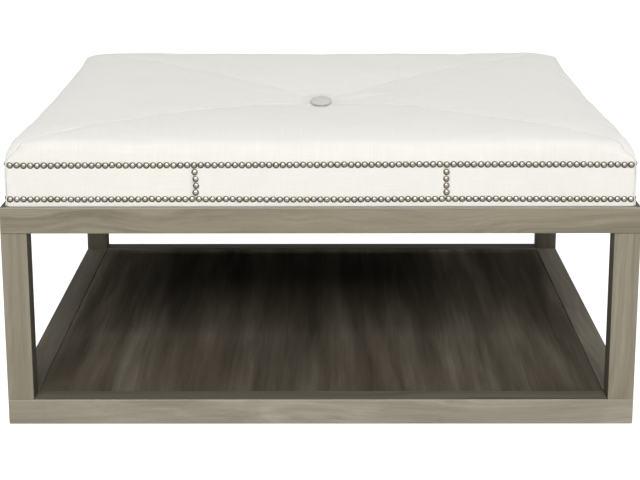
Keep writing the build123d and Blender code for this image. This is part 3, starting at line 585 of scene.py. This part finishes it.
def sim_grid():
    """A coarse net over the whole cover: a square grid for the top, rows of a loop for the band. Returns points in mm and faces."""
    n = 2 * M + 1
    points = np.zeros((n, n, 3))
    ii, jj = np.meshgrid(np.arange(n) - M, np.arange(n) - M, indexing="ij")  # ii along x, jj along y
    ring = np.maximum(np.abs(ii), np.abs(jj))
    s = ring / M * S_BAND
    h = half_length(np.maximum(s, 0.5))
    for side in SIDES:
        if side == "front":
            mask, t = (-jj == ring), ii
        elif side == "right":
            mask, t = (ii == ring), jj
        elif side == "back":
            mask, t = (jj == ring), -ii
        else:
            mask, t = (-ii == ring), -jj
        share = np.where(ring > 0, t / np.maximum(ring, 1), 0.0)
        pts = turned(front_point(s, (share + 1) * h), side)
        points[mask] = pts[mask]
    points[M, M] = (0, 0, 86.6)
    points[..., 2] += leaning(points)
    faces = [(i * n + j, (i + 1) * n + j, (i + 1) * n + j + 1, i * n + j + 1) for i in range(n - 1) for j in range(n - 1)]
    # the loop round the top's edge, counter-clockwise from the front left corner
    loop = [(i, 0) for i in range(n - 1)] + [(n - 1, j) for j in range(n - 1)] + [(i, n - 1) for i in range(n - 1, 0, -1)] + [(0, j) for j in range(n - 1, 0, -1)]
    rows = [[i * n + j for i, j in loop]]
    extra = []
    base = n * n
    for k in range(1, K + 1):
        s = S_BAND + (S_END - 18.0 - S_BAND) * k / K
        h = float(half_length(s))
        row = []
        for q, side in enumerate(SIDES):
            share = np.arange(2 * M) / (2 * M)
            pts = turned(front_point(np.full(2 * M, s), share * 2 * h), side)
            extra.append(pts)
        rows.append(list(range(base, base + 8 * M)))
        base += 8 * M
    every = np.vstack([points.reshape(-1, 3)] + extra)
    for k in range(K):
        a, b = rows[k], rows[k + 1]
        for q in range(8 * M):
            r = (q + 1) % (8 * M)
            faces.append((a[q], b[q], b[r], a[r]))
    return every, faces


def simulate():
    """Inflates the cover gently against its pins: the nails, the seams and the button hold, the cloth between them settles."""
    points, faces = sim_grid()
    mesh = bpy.data.meshes.new("sim_cover")
    mesh.from_pydata((points * MM).tolist(), [], faces)
    mesh.update()
    ob = bpy.data.objects.new("sim_cover", mesh)
    bpy.context.scene.collection.objects.link(ob)
    if mesh.polygons[M * 2 * M + M // 2].normal.z < 0:
        mesh.flip_normals()
    n = 2 * M + 1
    ii, jj = np.meshgrid(np.arange(n) - M, np.arange(n) - M, indexing="ij")
    ring = np.maximum(np.abs(ii), np.abs(jj))
    off_seam = np.abs(np.abs(ii) - np.abs(jj)) / np.maximum(ring, 1)
    hold = np.full((n, n), 0.035)
    hold = np.where(np.abs(np.abs(ii) - np.abs(jj)) <= 1, 0.30, hold)
    r = np.hypot(points[: n * n, 0], points[: n * n, 1]).reshape(n, n)
    hold = np.where(r < 26.0, 1.0, hold)
    hold = np.where(ring >= M, 1.0, hold)
    weights = np.concatenate([hold.ravel(), np.full(len(points) - n * n, 0.0)])
    for k in range(1, K + 1):
        s = S_BAND + (S_END - 18.0 - S_BAND) * k / K
        z = float(section(s)[1])
        w = 0.06 if 17.0 < z < 66.0 else 1.0
        weights[n * n + (k - 1) * 8 * M : n * n + k * 8 * M] = w
        for q in range(4):
            weights[n * n + (k - 1) * 8 * M + q * 2 * M] = 1.0
    group = ob.vertex_groups.new(name="hold")
    for value in np.unique(weights):
        group.add(np.nonzero(weights == value)[0].tolist(), float(value), "REPLACE")
    cloth = ob.modifiers.new("Cloth", "CLOTH")
    c = cloth.settings
    c.quality = 5
    c.mass = 0.35
    c.tension_stiffness, c.compression_stiffness, c.shear_stiffness, c.bending_stiffness = 30.0, 22.0, 9.0, 1.2
    c.tension_damping = c.compression_damping = c.shear_damping = 12.0
    c.air_damping = 4.0
    c.vertex_group_mass = "hold"
    c.pin_stiffness = 1.0
    c.use_pressure = True
    c.uniform_pressure_force = 0.9
    c.shrink_min = -0.012
    c.effector_weights.gravity = 0.0
    cloth.collision_settings.use_collision = False
    scene = bpy.context.scene
    cloth.point_cache.frame_start, cloth.point_cache.frame_end = 1, 24
    for f in range(1, 25):
        scene.frame_set(f)
    e = ob.evaluated_get(bpy.context.evaluated_depsgraph_get())
    co = np.zeros(len(mesh.vertices) * 3, np.float32)
    e.data.vertices.foreach_get("co", co)
    moved = co.reshape(-1, 3).astype(float) / MM - points
    ob.modifiers.remove(cloth)
    bpy.data.objects.remove(ob)
    bpy.data.meshes.remove(mesh)
    scene.frame_set(1)
    size = np.linalg.norm(moved, axis=1, keepdims=True)
    cap = 1.3
    moved = moved * (cap * np.tanh(size / cap) / np.maximum(size, 1e-9))
    print("cloth moved, mm: most %.2f, mean %.2f" % (size.max(), size.mean()))
    return moved[: n * n].reshape(n, n, 3), moved[n * n :].reshape(K, 8 * M, 3)


settle_top, settle_band = simulate()


def settled(side, s, p, h):
    """The simulated movement at these places of a side, in mm, in the row frame."""
    out = np.zeros(s.shape + (3,))
    if settle_top is None:
        return out
    n = 2 * M + 1
    share = np.clip(p / h - 1, -1, 1)  # -1 at the left diagonal, 1 at the right
    ring = np.clip(s / S_BAND, 0, 1) * M
    t = share * ring
    u, v = {"front": (t, -ring), "right": (ring, t), "back": (-t, ring), "left": (-ring, -t)}[side]
    u, v = np.clip(u + M, 0, n - 1 - 1e-6), np.clip(v + M, 0, n - 1 - 1e-6)
    i, j = u.astype(int), v.astype(int)
    fu, fv = (u - i)[..., None], (v - j)[..., None]
    top = settle_top[i, j] * (1 - fu) * (1 - fv) + settle_top[i + 1, j] * fu * (1 - fv) + settle_top[i, j + 1] * (1 - fu) * fv + settle_top[i + 1, j + 1] * fu * fv
    top = top * smooth(np.hypot(t, ring), 2.5, 7.0)[..., None]  # held down under the button
    q = SIDES.index(side)
    k = np.clip((s - S_BAND) / (S_END - 18.0 - S_BAND) * K, 0, K - 1e-6)
    ki = k.astype(int)
    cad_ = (k - ki)[..., None]
    col = (share + 1) / 2 * 2 * M
    ci = np.clip(col.astype(int), 0, 2 * M - 1)
    fc = (col - ci)[..., None]
    edge = np.concatenate([settle_top[:-1, 0], settle_top[-1, :-1], settle_top[:0:-1, -1], settle_top[0, :0:-1]])
    rows = np.concatenate([edge[None], settle_band])
    c0, c1 = (q * 2 * M + ci) % (8 * M), (q * 2 * M + ci + 1) % (8 * M)
    low = rows[ki, c0] * (1 - fc) + rows[ki, c1] * fc
    high = rows[ki + 1, c0] * (1 - fc) + rows[ki + 1, c1] * fc
    band = low * (1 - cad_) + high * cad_
    band = band * (0.5 * (1 - np.exp(-(((np.abs(p - h) - 209.05) / 14.0) ** 2))))[..., None]
    return np.where((s < S_BAND)[..., None], top, band)


# ---------------------------------------------------------------- building meshes
def add_mesh(name, points, faces, material, body="root", smooth_shading=True, attributes=None):
    mesh = bpy.data.meshes.new(name)
    mesh.from_pydata((np.asarray(points, float) * MM).tolist(), [], faces)
    mesh.update()
    if smooth_shading:
        mesh.polygons.foreach_set("use_smooth", np.ones(len(mesh.polygons), bool))
    for key, (kind, values) in (attributes or {}).items():
        a = mesh.attributes.new(key, kind, "POINT")
        values = np.asarray(values, np.float32)
        a.data.foreach_set("vector" if kind == "FLOAT_VECTOR" else "value", values.ravel())
    mesh.materials.append(material)
    ob = bpy.data.objects.new(name, mesh)
    bpy.context.scene.collection.objects.link(ob)
    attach(ob, body)
    return ob


def row_places():
    """Where the rows of a cover panel lie along the section, closer where the form turns or a nail row holds it."""
    out, s = [], 9.0
    while s < S_END - 0.3:
        out.append(s)
        a, z = section(s)
        if 17.0 < s < 27.0:
            d = 0.8
        elif s < 70:
            d = 2.6
        elif s < S_ROLL - 20:
            d = 4.0
        elif s < S_BAND - 6:
            d = 2.2
        elif z > 64:
            d = 1.8
        elif z > 19:
            d = 3.4
        elif z > 4:
            d = 1.8
        elif a > 520.0:
            d = 0.6
        else:
            d = 4.0
        s += d
    return np.array(out + [S_END])


OFFSETS = [0.0, 0.5, 1.0, 1.6, 2.3, 3.2, 4.3, 5.6, 7.2, 9.2, 11.8, 15.0, 19.0]
while OFFSETS[-1] < 520.0:
    OFFSETS.append(OFFSETS[-1] + 4.6)
OFFSETS = np.array(OFFSETS) * (524.5 / OFFSETS[-1])


def column_places(h):
    """Column places on rings of half-length h: true distances near the seams, shared out evenly further in."""
    h = np.asarray(h, float)[:, None]
    k = np.minimum(h / 524.5, 1.0)
    c = 0.1 * h
    left = OFFSETS * (k - (1 - k) * c / 524.5) + (1 - k) * c * (1 - np.exp(-OFFSETS / np.maximum(c, 1e-6)))
    left = left * (h / left[:, -1:])
    return np.concatenate([left, (2 * h - left[:, -2::-1])], axis=1)


ROWS = row_places()
HALF = half_length(ROWS)
COLS = column_places(HALF)
THICK = 1.4


def cover_panel(side):
    s = np.repeat(ROWS[:, None], COLS.shape[1], axis=1)
    h = np.repeat(HALF[:, None], COLS.shape[1], axis=1)
    base = front_point(s, COLS)
    base = turned(base, side)
    base[..., 2] += T + leaning(base)
    normal = normals_of(base, side)
    lift, painted_shade = detail(side, s, COLS, h, base)
    outer = base + settled(side, s, COLS, h) + normal * lift[..., None]
    inner = base + settled(side, s, COLS, h) - normal * (THICK + 0.35)
    band = smooth(s, S_BAND - 12.0, S_BAND)[..., None]
    inner = inner + normal * (0.35 * band)
    # the fold under the lower edge is pressed thin
    fold = float(LENGTH[np.argmin(np.abs(PROFILE[:, 0] - 525.2) + np.abs(PROFILE[:, 1] - 0.6))])
    inner = inner + normal * (0.85 * np.exp(-(((s - fold) / 2.6) ** 2)))[..., None]
    nr, nc = s.shape
    a, z = section(s)
    weave = np.stack([(COLS - h) * MM, s * MM, np.full_like(s, SIDES.index(side) * 3.0)], axis=-1)
    index = np.arange(nr * nc).reshape(nr, nc)
    a0, b0, c0, d0 = index[:-1, :-1].ravel(), index[1:, :-1].ravel(), index[1:, 1:].ravel(), index[:-1, 1:].ravel()
    faces = np.stack([a0, b0, c0, d0], axis=1)
    under = faces[:, ::-1] + nr * nc
    border = np.concatenate([index[:, 0], index[-1, 1:], index[-2::-1, -1], index[0, -2:0:-1]])
    nxt = np.roll(border, -1)
    rim = np.stack([border, border + nr * nc, nxt + nr * nc, nxt], axis=1)
    every = np.concatenate([faces, under, rim]).tolist()
    points = np.concatenate([outer.reshape(-1, 3), inner.reshape(-1, 3)])
    both = {"weave": ("FLOAT_VECTOR", np.concatenate([weave.reshape(-1, 3)] * 2)), "painted_shade": ("FLOAT", np.concatenate([painted_shade.ravel(), painted_shade.ravel()]))}
    ob = add_mesh("cover_" + side, points, every, cover_cloth, attributes=both)
    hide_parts("cover_panel_" + side)
    return ob


covers = {side: cover_panel(side) for side in SIDES}


# ---------------------------------------------------------------- wadding and foam under the cover
def loop_rows(rows, per_side, depth):
    """Rings round the whole seat at section places rows, each depth below the cover."""
    out = []
    share = np.arange(per_side) / per_side
    full = np.linspace(0, 1, per_side + 1)
    for side in SIDES:
        s = np.repeat(np.asarray(rows)[:, None], per_side + 1, axis=1)
        h = half_length(s)
        p = full[None, :] * 2 * h
        base = turned(front_point(s, p), side)
        base[..., 2] += leaning(base)
        pts = base - normals_of(base, side) * depth + settled(side, s, p, h)
        out.append(pts[:, :-1])
    ring = np.concatenate(out, axis=1)
    ring[..., 2] += T
    return ring


def square_ring(a, z, r, per_side):
    h = a - r + r * math.pi / 4
    out = []
    for side in SIDES:
        p = np.arange(per_side) / per_side * 2 * h
        q = np.where(p <= h, p, 2 * h - p)
        arc = q < r * math.pi / 4
        theta = math.radians(225) + q / max(r, 1e-6)
        x = np.where(arc, -(a - r) + r * np.cos(theta), -(a - r) + (q - r * math.pi / 4))
        y = np.where(arc, -(a - r) + r * np.sin(theta), -a)
        x = np.where(p <= h, -np.abs(x), np.abs(x))
        out.append(turned(np.stack([x, y, np.full_like(x, z)], axis=-1), side))
    return np.concatenate(out, axis=0)


def closed_loop(name, rings, material, closed=True):
    rings = np.array(rings)
    nr, nc = rings.shape[:2]
    index = np.arange(nr * nc).reshape(nr, nc)
    faces = []
    for k in range(nr if closed else nr - 1):
        a, b = index[k], index[(k + 1) % nr]
        a2, b2 = np.roll(a, -1), np.roll(b, -1)
        faces += np.stack([a, b, b2, a2], axis=1).tolist()
    return add_mesh(name, rings.reshape(-1, 3), faces, material)


top_rows = [s for s in np.concatenate([[11.0, 16.0], np.arange(24.0, S_ROLL - 5, 11.0), np.arange(S_ROLL, S_BAND, 4.0)]) if section(s)[1] > 86.5 or s < S_ROLL]
outer_rings = loop_rows(top_rows, 48, 4.0)
inner_rings = loop_rows(top_rows, 48, 8.0)
wad = closed_loop("wadding_layer", list(outer_rings) + list(inner_rings[::-1]), wadding_material)
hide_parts("polyester_wadding")
foam_rings = list(loop_rows(top_rows, 48, 8.3))
foam_rings += [square_ring(514.0, T + 80.3, 9.0, 48), square_ring(500.4, T + 80.3, 5.0, 48), square_ring(500.4, T + 52.3, 5.0, 48), square_ring(250.0, T + 52.2, 60.0, 48), square_ring(11.0, T + 52.2, 11.0, 48)]
foam = closed_loop("foam_block", foam_rings, foam_material)
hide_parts("foam_core")


# ---------------------------------------------------------------- the button
FOOT = T + 88.3
LOOP = FOOT - 5.1  # where the twine holds the button's wire loop


def leaned(points):
    """The button leans forward about its wire loop."""
    c, q = math.cos(math.radians(16.3)), math.sin(math.radians(16.3))
    x, y, z = points[..., 0], points[..., 1], points[..., 2] - LOOP
    return np.stack([x, c * y - q * z, LOOP + c * z + q * y], axis=-1)


def turned_ring(name, rings, seg, material):
    """A closed piece made of rings of points round the z axis; the first and last ring are capped."""
    angle = np.arange(seg) / seg * 2 * math.pi
    pts = np.array([np.stack([r * np.cos(angle), r * np.sin(angle), np.full(seg, z)], axis=-1) for r, z in rings])
    index = np.arange(len(rings) * seg).reshape(len(rings), seg)
    faces = []
    for k in range(len(rings) - 1):
        a, b = index[k], index[k + 1]
        faces += np.stack([a, b, np.roll(b, -1), np.roll(a, -1)], axis=1).tolist()
    faces.append(index[0].tolist())
    faces.append(index[-1][::-1].tolist())
    return add_mesh(name, leaned(pts.reshape(-1, 3)), faces, material)


def button():
    """The covered button: cloth drawn over a shell, with small pleats where it turns under the rim."""
    R = (21.5**2 + 6.7**2) / (2 * 6.7)
    top, foot = FOOT + 6.7, FOOT
    seg = 96
    angle = np.arange(seg) / seg * 2 * math.pi
    radii = [0.6, 2.5, 5, 7.5, 10, 12.5, 15, 17, 18.7, 19.8, 20.4, 20.8]
    rings = []
    for r in radii:
        z = top - (R - math.sqrt(R * R - r * r))
        rings.append((r, z, smooth(r, 14.0, 21.0)))
    rings += [(21.0, foot + 0.45, 1.0), (20.9, foot + 0.12, 0.8), (20.6, foot + 0.02, 0.5), (19.2, foot + 0.02, 0.2), (17.4, foot + 0.02, 0.0)]
    inside = [(17.4, foot + 0.5), (19.0, foot + 0.6)] + [(r, top - 0.86 - (R - math.sqrt(R * R - r * r))) for r in (19.6, 17, 14, 11, 8, 5, 2.5, 0.6)]
    pts = []
    g = line_noise(83, 0.28, 0.7, 8)
    pleat = 0.17 * (g(angle) * 0.5 + np.sin(angle * 26 + 0.7 * np.sin(angle * 3)))
    for r, z, w in rings:
        rr = r + pleat * w * 0.7
        pts.append(np.stack([rr * np.cos(angle), rr * np.sin(angle), z + pleat * w * 0.35 * (1 if r < 21.4 and z > foot + 0.4 else 0)], axis=-1))
    for r, z in inside:
        pts.append(np.stack([r * np.cos(angle), r * np.sin(angle), np.full(seg, z)], axis=-1))
    pts = np.array(pts)
    nr = len(pts)
    index = np.arange(nr * seg).reshape(nr, seg)
    faces = []
    for k in range(nr - 1):
        a, b = index[k], index[k + 1]
        faces += np.stack([a, b, np.roll(b, -1), np.roll(a, -1)], axis=1).tolist()
    faces.append(index[0].tolist())
    faces.append(index[-1][::-1].tolist())
    flat = pts.reshape(-1, 3)
    # painted shade round the button's rim, heavier on its front half, where the cloth turns under
    both = {"weave": ("FLOAT_VECTOR", np.stack([flat[:, 0] * MM, flat[:, 1] * MM, np.full(len(flat), 20.0)], axis=-1)), "painted_shade": ("FLOAT", np.where(np.hypot(flat[:, 0], flat[:, 1]) > 20.2, 0.2 + 0.9 * smooth(-flat[:, 1] / 21.0, -0.3, 0.3), 0.0))}
    ob = add_mesh("button_cloth", leaned(flat), faces, button_cloth, attributes=both)
    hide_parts("button_cover")
    return ob


button_piece = button()
R_SHELL = (21.5**2 + 6.7**2) / (2 * 6.7)
dome = [(r, FOOT + 6.7 - 0.9 - (R_SHELL - math.sqrt(R_SHELL**2 - r * r))) for r in (0.5, 3, 6, 9, 12, 15, 17.5, 18.9)]
shell = turned_ring("button_shell_steel", dome + [(r, z - 0.8) for r, z in dome[::-1]], 64, steel)
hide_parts("button_shell")
plate = turned_ring("button_back_plate", [(0.5, FOOT + 0.8), (16.0, FOOT + 0.8), (16.8, FOOT + 0.6), (16.8, FOOT + 0.1), (16.4, FOOT), (0.5, FOOT)], 64, steel)
tube, around_loop = [], 28
for k in range(around_loop):
    b = 2 * math.pi * k / around_loop
    for m in range(10):
        e = 2 * math.pi * m / 10
        tube.append(((2.4 + 0.6 * math.cos(e)) * math.cos(b), 0.6 * math.sin(e), FOOT - 2.7 + (2.4 + 0.6 * math.cos(e)) * math.sin(b)))
loop_faces = [(k * 10 + m, k * 10 + (m + 1) % 10, (k + 1) % around_loop * 10 + (m + 1) % 10, (k + 1) % around_loop * 10 + m) for k in range(around_loop) for m in range(10)]
wire = add_mesh("button_back_loop", leaned(np.array(tube)), loop_faces, steel)
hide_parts("button_back")
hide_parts("button_back")


# ---------------------------------------------------------------- nails
nail_metal = nail_material()
DOME = [(0.0, 2.80), (1.1, 2.73), (2.15, 2.50), (3.1, 2.12), (3.95, 1.60), (4.6, 1.05), (5.1, 0.52), (5.45, 0.16), (5.55, -0.08), (5.2, -0.18), (1.2, -0.10)]
SEGMENTS = 20


def nail_places(side):
    low_pitch, high_pitch, low, high = 11.215, 11.3, 12.5, 70.5
    step = (high - low) / 5.0
    if side in ("front", "back"):
        lows, highs = [(i - 46) * low_pitch for i in range(93)], [(i - 45.5) * high_pitch for i in range(92)]
    else:
        lows, highs = [(i - 45.5) * low_pitch for i in range(92)], [(i - 45) * high_pitch for i in range(91)]
    g = np.random.default_rng(100 + TURN[side])
    wave_low, wave_high = line_noise(200 + TURN[side], 380.0, 900.0, 4), line_noise(300 + TURN[side], 380.0, 900.0, 4)
    out = [(x + g.normal(0, 0.05), low + 0.22 * float(wave_low(x)) + g.normal(0, 0.16)) for x in lows]
    if side == "front":
        out += [(x + g.normal(0, 0.05), high + float(np.interp(x, [-520, -200, 60, 230, 380, 520], [-0.7, -0.3, 0.5, 1.0, 0.7, 0.2])) + g.normal(0, 0.18)) for x in highs]
    else:
        out += [(x + g.normal(0, 0.05), high + 0.45 * float(wave_high(x)) + g.normal(0, 0.18)) for x in highs]
    for x in (-18.5 * high_pitch, 18.5 * high_pitch):
        lean = g.normal(0, 0.5)
        bow = (1.8, 3.0, 2.3, 0.7) if side == "front" and x < 0 else (0.0, 0.0, 0.0, 0.0)
        out += [(x + g.normal(0, 0.25) + lean * (2.5 - i) * 0.4 + bow[i - 1], low + step * i + g.normal(0, 0.12)) for i in range(1, 5)]
    return out


def nails(side):
    g = np.random.default_rng(500 + TURN[side])
    angle = np.arange(SEGMENTS) / SEGMENTS * 2 * math.pi
    points, faces, marks = [], [], []
    start = 0
    for x, z in nail_places(side):
        tilt_x, tilt_z = g.normal(0, 0.03), g.normal(0, 0.03) - 0.006
        tint, warm = g.uniform(0, 1), min(1.0, max(-0.5, g.normal(0.25, 0.35)))
        proud = g.normal(0, 0.08) - 0.3 * max(0.0, z - 12.5) / 58.0
        ring = [[(0.0, 2.80)]] + [[(r, h)] for r, h in DOME[1:]]
        local = [np.array([[0.0, DOME[0][1], 0.0]])]
        rim = [np.array([0.16])]
        for r, h in DOME[1:]:
            local.append(np.stack([r * np.cos(angle), np.full(SEGMENTS, h), r * np.sin(angle)], axis=-1))
            # the patina ring is centred above and right of the middle, so it is thicker on the lower and left rim:
            # painted shade
            rim.append(np.hypot(r * np.cos(angle) - 0.3, r * np.sin(angle) - 0.85) / 5.5)
        # the square shank, tapering to its point
        for w, h in ((0.85, -0.3), (0.8, -9.5), (0.05, -13.0)):
            local.append(np.array([[w, h, w], [-w, h, w], [-w, h, -w], [w, h, -w]]))
            rim.append(np.full(4, 0.9))
        local = np.vstack(local)
        out = local[:, 1] + local[:, 0] * tilt_x + local[:, 2] * tilt_z + proud
        pts = np.stack([x + local[:, 0], -SEAT - out, T + z + local[:, 2]], axis=-1)
        points.append(pts)
        marks.append(np.stack([np.concatenate(rim), np.full(len(pts), tint), np.full(len(pts), warm)], axis=-1))
        first = start + 1
        for q in range(SEGMENTS):
            faces.append((start, first + (q + 1) % SEGMENTS, first + q))
        for k in range(len(DOME) - 2):
            a, b = first + k * SEGMENTS, first + (k + 1) * SEGMENTS
            for q in range(SEGMENTS):
                r = (q + 1) % SEGMENTS
                faces.append((a + q, a + r, b + r, b + q))
        last = first + (len(DOME) - 2) * SEGMENTS
        faces.append(tuple(last + q for q in range(SEGMENTS)))
        sh = last + SEGMENTS
        faces.append((sh, sh + 1, sh + 2, sh + 3))
        for k in range(2):
            a, b = sh + 4 * k, sh + 4 * (k + 1)
            for q in range(4):
                r = (q + 1) % 4
                faces.append((a + q, b + q, b + r, a + r))
        faces.append((sh + 11, sh + 10, sh + 9, sh + 8))
        start += len(pts)
    points = turned(np.vstack(points), side)
    ob = add_mesh("nail_heads_" + side, points, faces, nail_metal, attributes={"nail": ("FLOAT_VECTOR", np.vstack(marks))})
    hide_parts("nails_" + side)
    return ob


nail_objects = [nails(side) for side in SIDES]


# ---------------------------------------------------------------- floor and light
def floor_material():
    t = Tree("studio_floor")
    p = t.place()
    n = t.noise(p, 60.0, 3.0, 0.5)
    colour = t.mix(t.grey(n, 0.3, 0.7), (0.90, 0.90, 0.90, 1), (0.88, 0.88, 0.88, 1))
    # pale and evenly lit where it is seen, an ordinary grey-white surface for the light it sends back
    d = t.node("BsdfDiffuse", {"Color": t.mix(0.5, colour, (0.0, 0.0, 0.0, 1))})
    e = t.node("Emission", {"Color": (1, 1, 1, 1), "Strength": 1.0})
    add = t.node("AddShader", {0: d.outputs[0], 1: e.outputs[0]})
    dim = t.node("BsdfDiffuse", {"Color": (0.88, 0.87, 0.85, 1)})
    seen = t.node("LightPath").outputs["Is Camera Ray"]
    lit = t.node("MixShader", {0: seen, 1: dim.outputs[0], 2: add.outputs[0]})
    clear = t.node("BsdfTransparent")
    back = t.node("NewGeometry").outputs["Backfacing"]
    both = t.node("MixShader", {0: back, 1: lit.outputs[0], 2: clear.outputs[0]})
    t.tree.links.new(both.outputs[0], t.out.inputs[0])
    return t.material


floor_mesh = bpy.data.meshes.new("floor")
floor_mesh.from_pydata([(-40, -40, 0), (40, -40, 0), (40, 40, 0), (-40, 40, 0)], [], [(0, 1, 2, 3)])
floor_mesh.materials.append(floor_material())
floor = bpy.data.objects.new("floor", floor_mesh)
bpy.context.scene.collection.objects.link(floor)


def area_light(name, place, target, size, power, colour=(1, 1, 1)):
    data = bpy.data.lights.new(name, "AREA")
    data.shape = "RECTANGLE"
    data.size, data.size_y = size
    data.energy = power
    data.color = colour
    ob = bpy.data.objects.new(name, data)
    ob.location = place
    ob.rotation_euler = (Vector(target) - Vector(place)).to_track_quat("-Z", "Y").to_euler()
    bpy.context.scene.collection.objects.link(ob)
    return ob


def around(azimuth, elevation, distance=10.0, height=0.4):
    """A place for a light: azimuth 0 in front of the object, 90 on its right."""
    a, e = math.radians(azimuth), math.radians(elevation)
    return (distance * math.cos(e) * math.sin(a), -distance * math.cos(e) * math.cos(a), height + distance * math.sin(e))


area_light("key_front", around(-3, 28), (0, 0, 0.4), (6.8, 3.2), 752.0, (1.0, 0.99, 0.965))
area_light("key_high", around(2, 47), (0, 0, 0.4), (5.6, 2.8), 60.0, (1.0, 0.99, 0.97))
area_light("top_soft", around(180, 78), (0, 0, 0.4), (6.0, 2.8), 336.0)
area_light("side_right", around(80, 42), (0, 0, 0.3), (5.2, 2.4), 120.0)
area_light("side_left", around(-80, 56), (0, 0, 0.3), (5.2, 2.4), 10.0)
world = bpy.data.worlds.new("studio")
world.use_nodes = True
wt = world.node_tree
wt.nodes.clear()
w_out = wt.nodes.new("ShaderNodeOutputWorld")
w_seen, w_far, w_gloss = (wt.nodes.new("ShaderNodeBackground") for _ in range(3))
w_mix, w_mix2 = wt.nodes.new("ShaderNodeMixShader"), wt.nodes.new("ShaderNodeMixShader")
w_path, w_place, w_split, w_range = wt.nodes.new("ShaderNodeLightPath"), wt.nodes.new("ShaderNodeTexCoord"), wt.nodes.new("ShaderNodeSeparateXYZ"), wt.nodes.new("ShaderNodeMapRange")
for w_node, w_strength in ((w_seen, 1.15), (w_far, 0.02), (w_gloss, 0.6)):
    w_node.inputs[0].default_value, w_node.inputs[1].default_value = (1, 1, 1, 1), w_strength
# the white wall of the studio behind the camera shows in the nails, the side behind the object stays dim
wt.links.new(w_place.outputs["Generated"], w_split.inputs[0])
wt.links.new(w_split.outputs["Y"], w_range.inputs["Value"])
w_range.inputs["From Min"].default_value, w_range.inputs["From Max"].default_value = -0.75, 0.05
w_range.inputs["To Min"].default_value, w_range.inputs["To Max"].default_value = 0.75, 0.03
wt.links.new(w_range.outputs[0], w_gloss.inputs[1])
wt.links.new(w_path.outputs["Is Glossy Ray"], w_mix2.inputs[0])
wt.links.new(w_far.outputs[0], w_mix2.inputs[1])
wt.links.new(w_gloss.outputs[0], w_mix2.inputs[2])
wt.links.new(w_path.outputs["Is Camera Ray"], w_mix.inputs[0])
wt.links.new(w_mix2.outputs[0], w_mix.inputs[1])
wt.links.new(w_seen.outputs[0], w_mix.inputs[2])
wt.links.new(w_mix.outputs[0], w_out.inputs[0])
bpy.context.scene.world = world
bpy.context.scene.view_settings.view_transform = "Standard"
bpy.context.scene.view_settings.look = "None"
bpy.context.scene.view_settings.exposure = 0.0
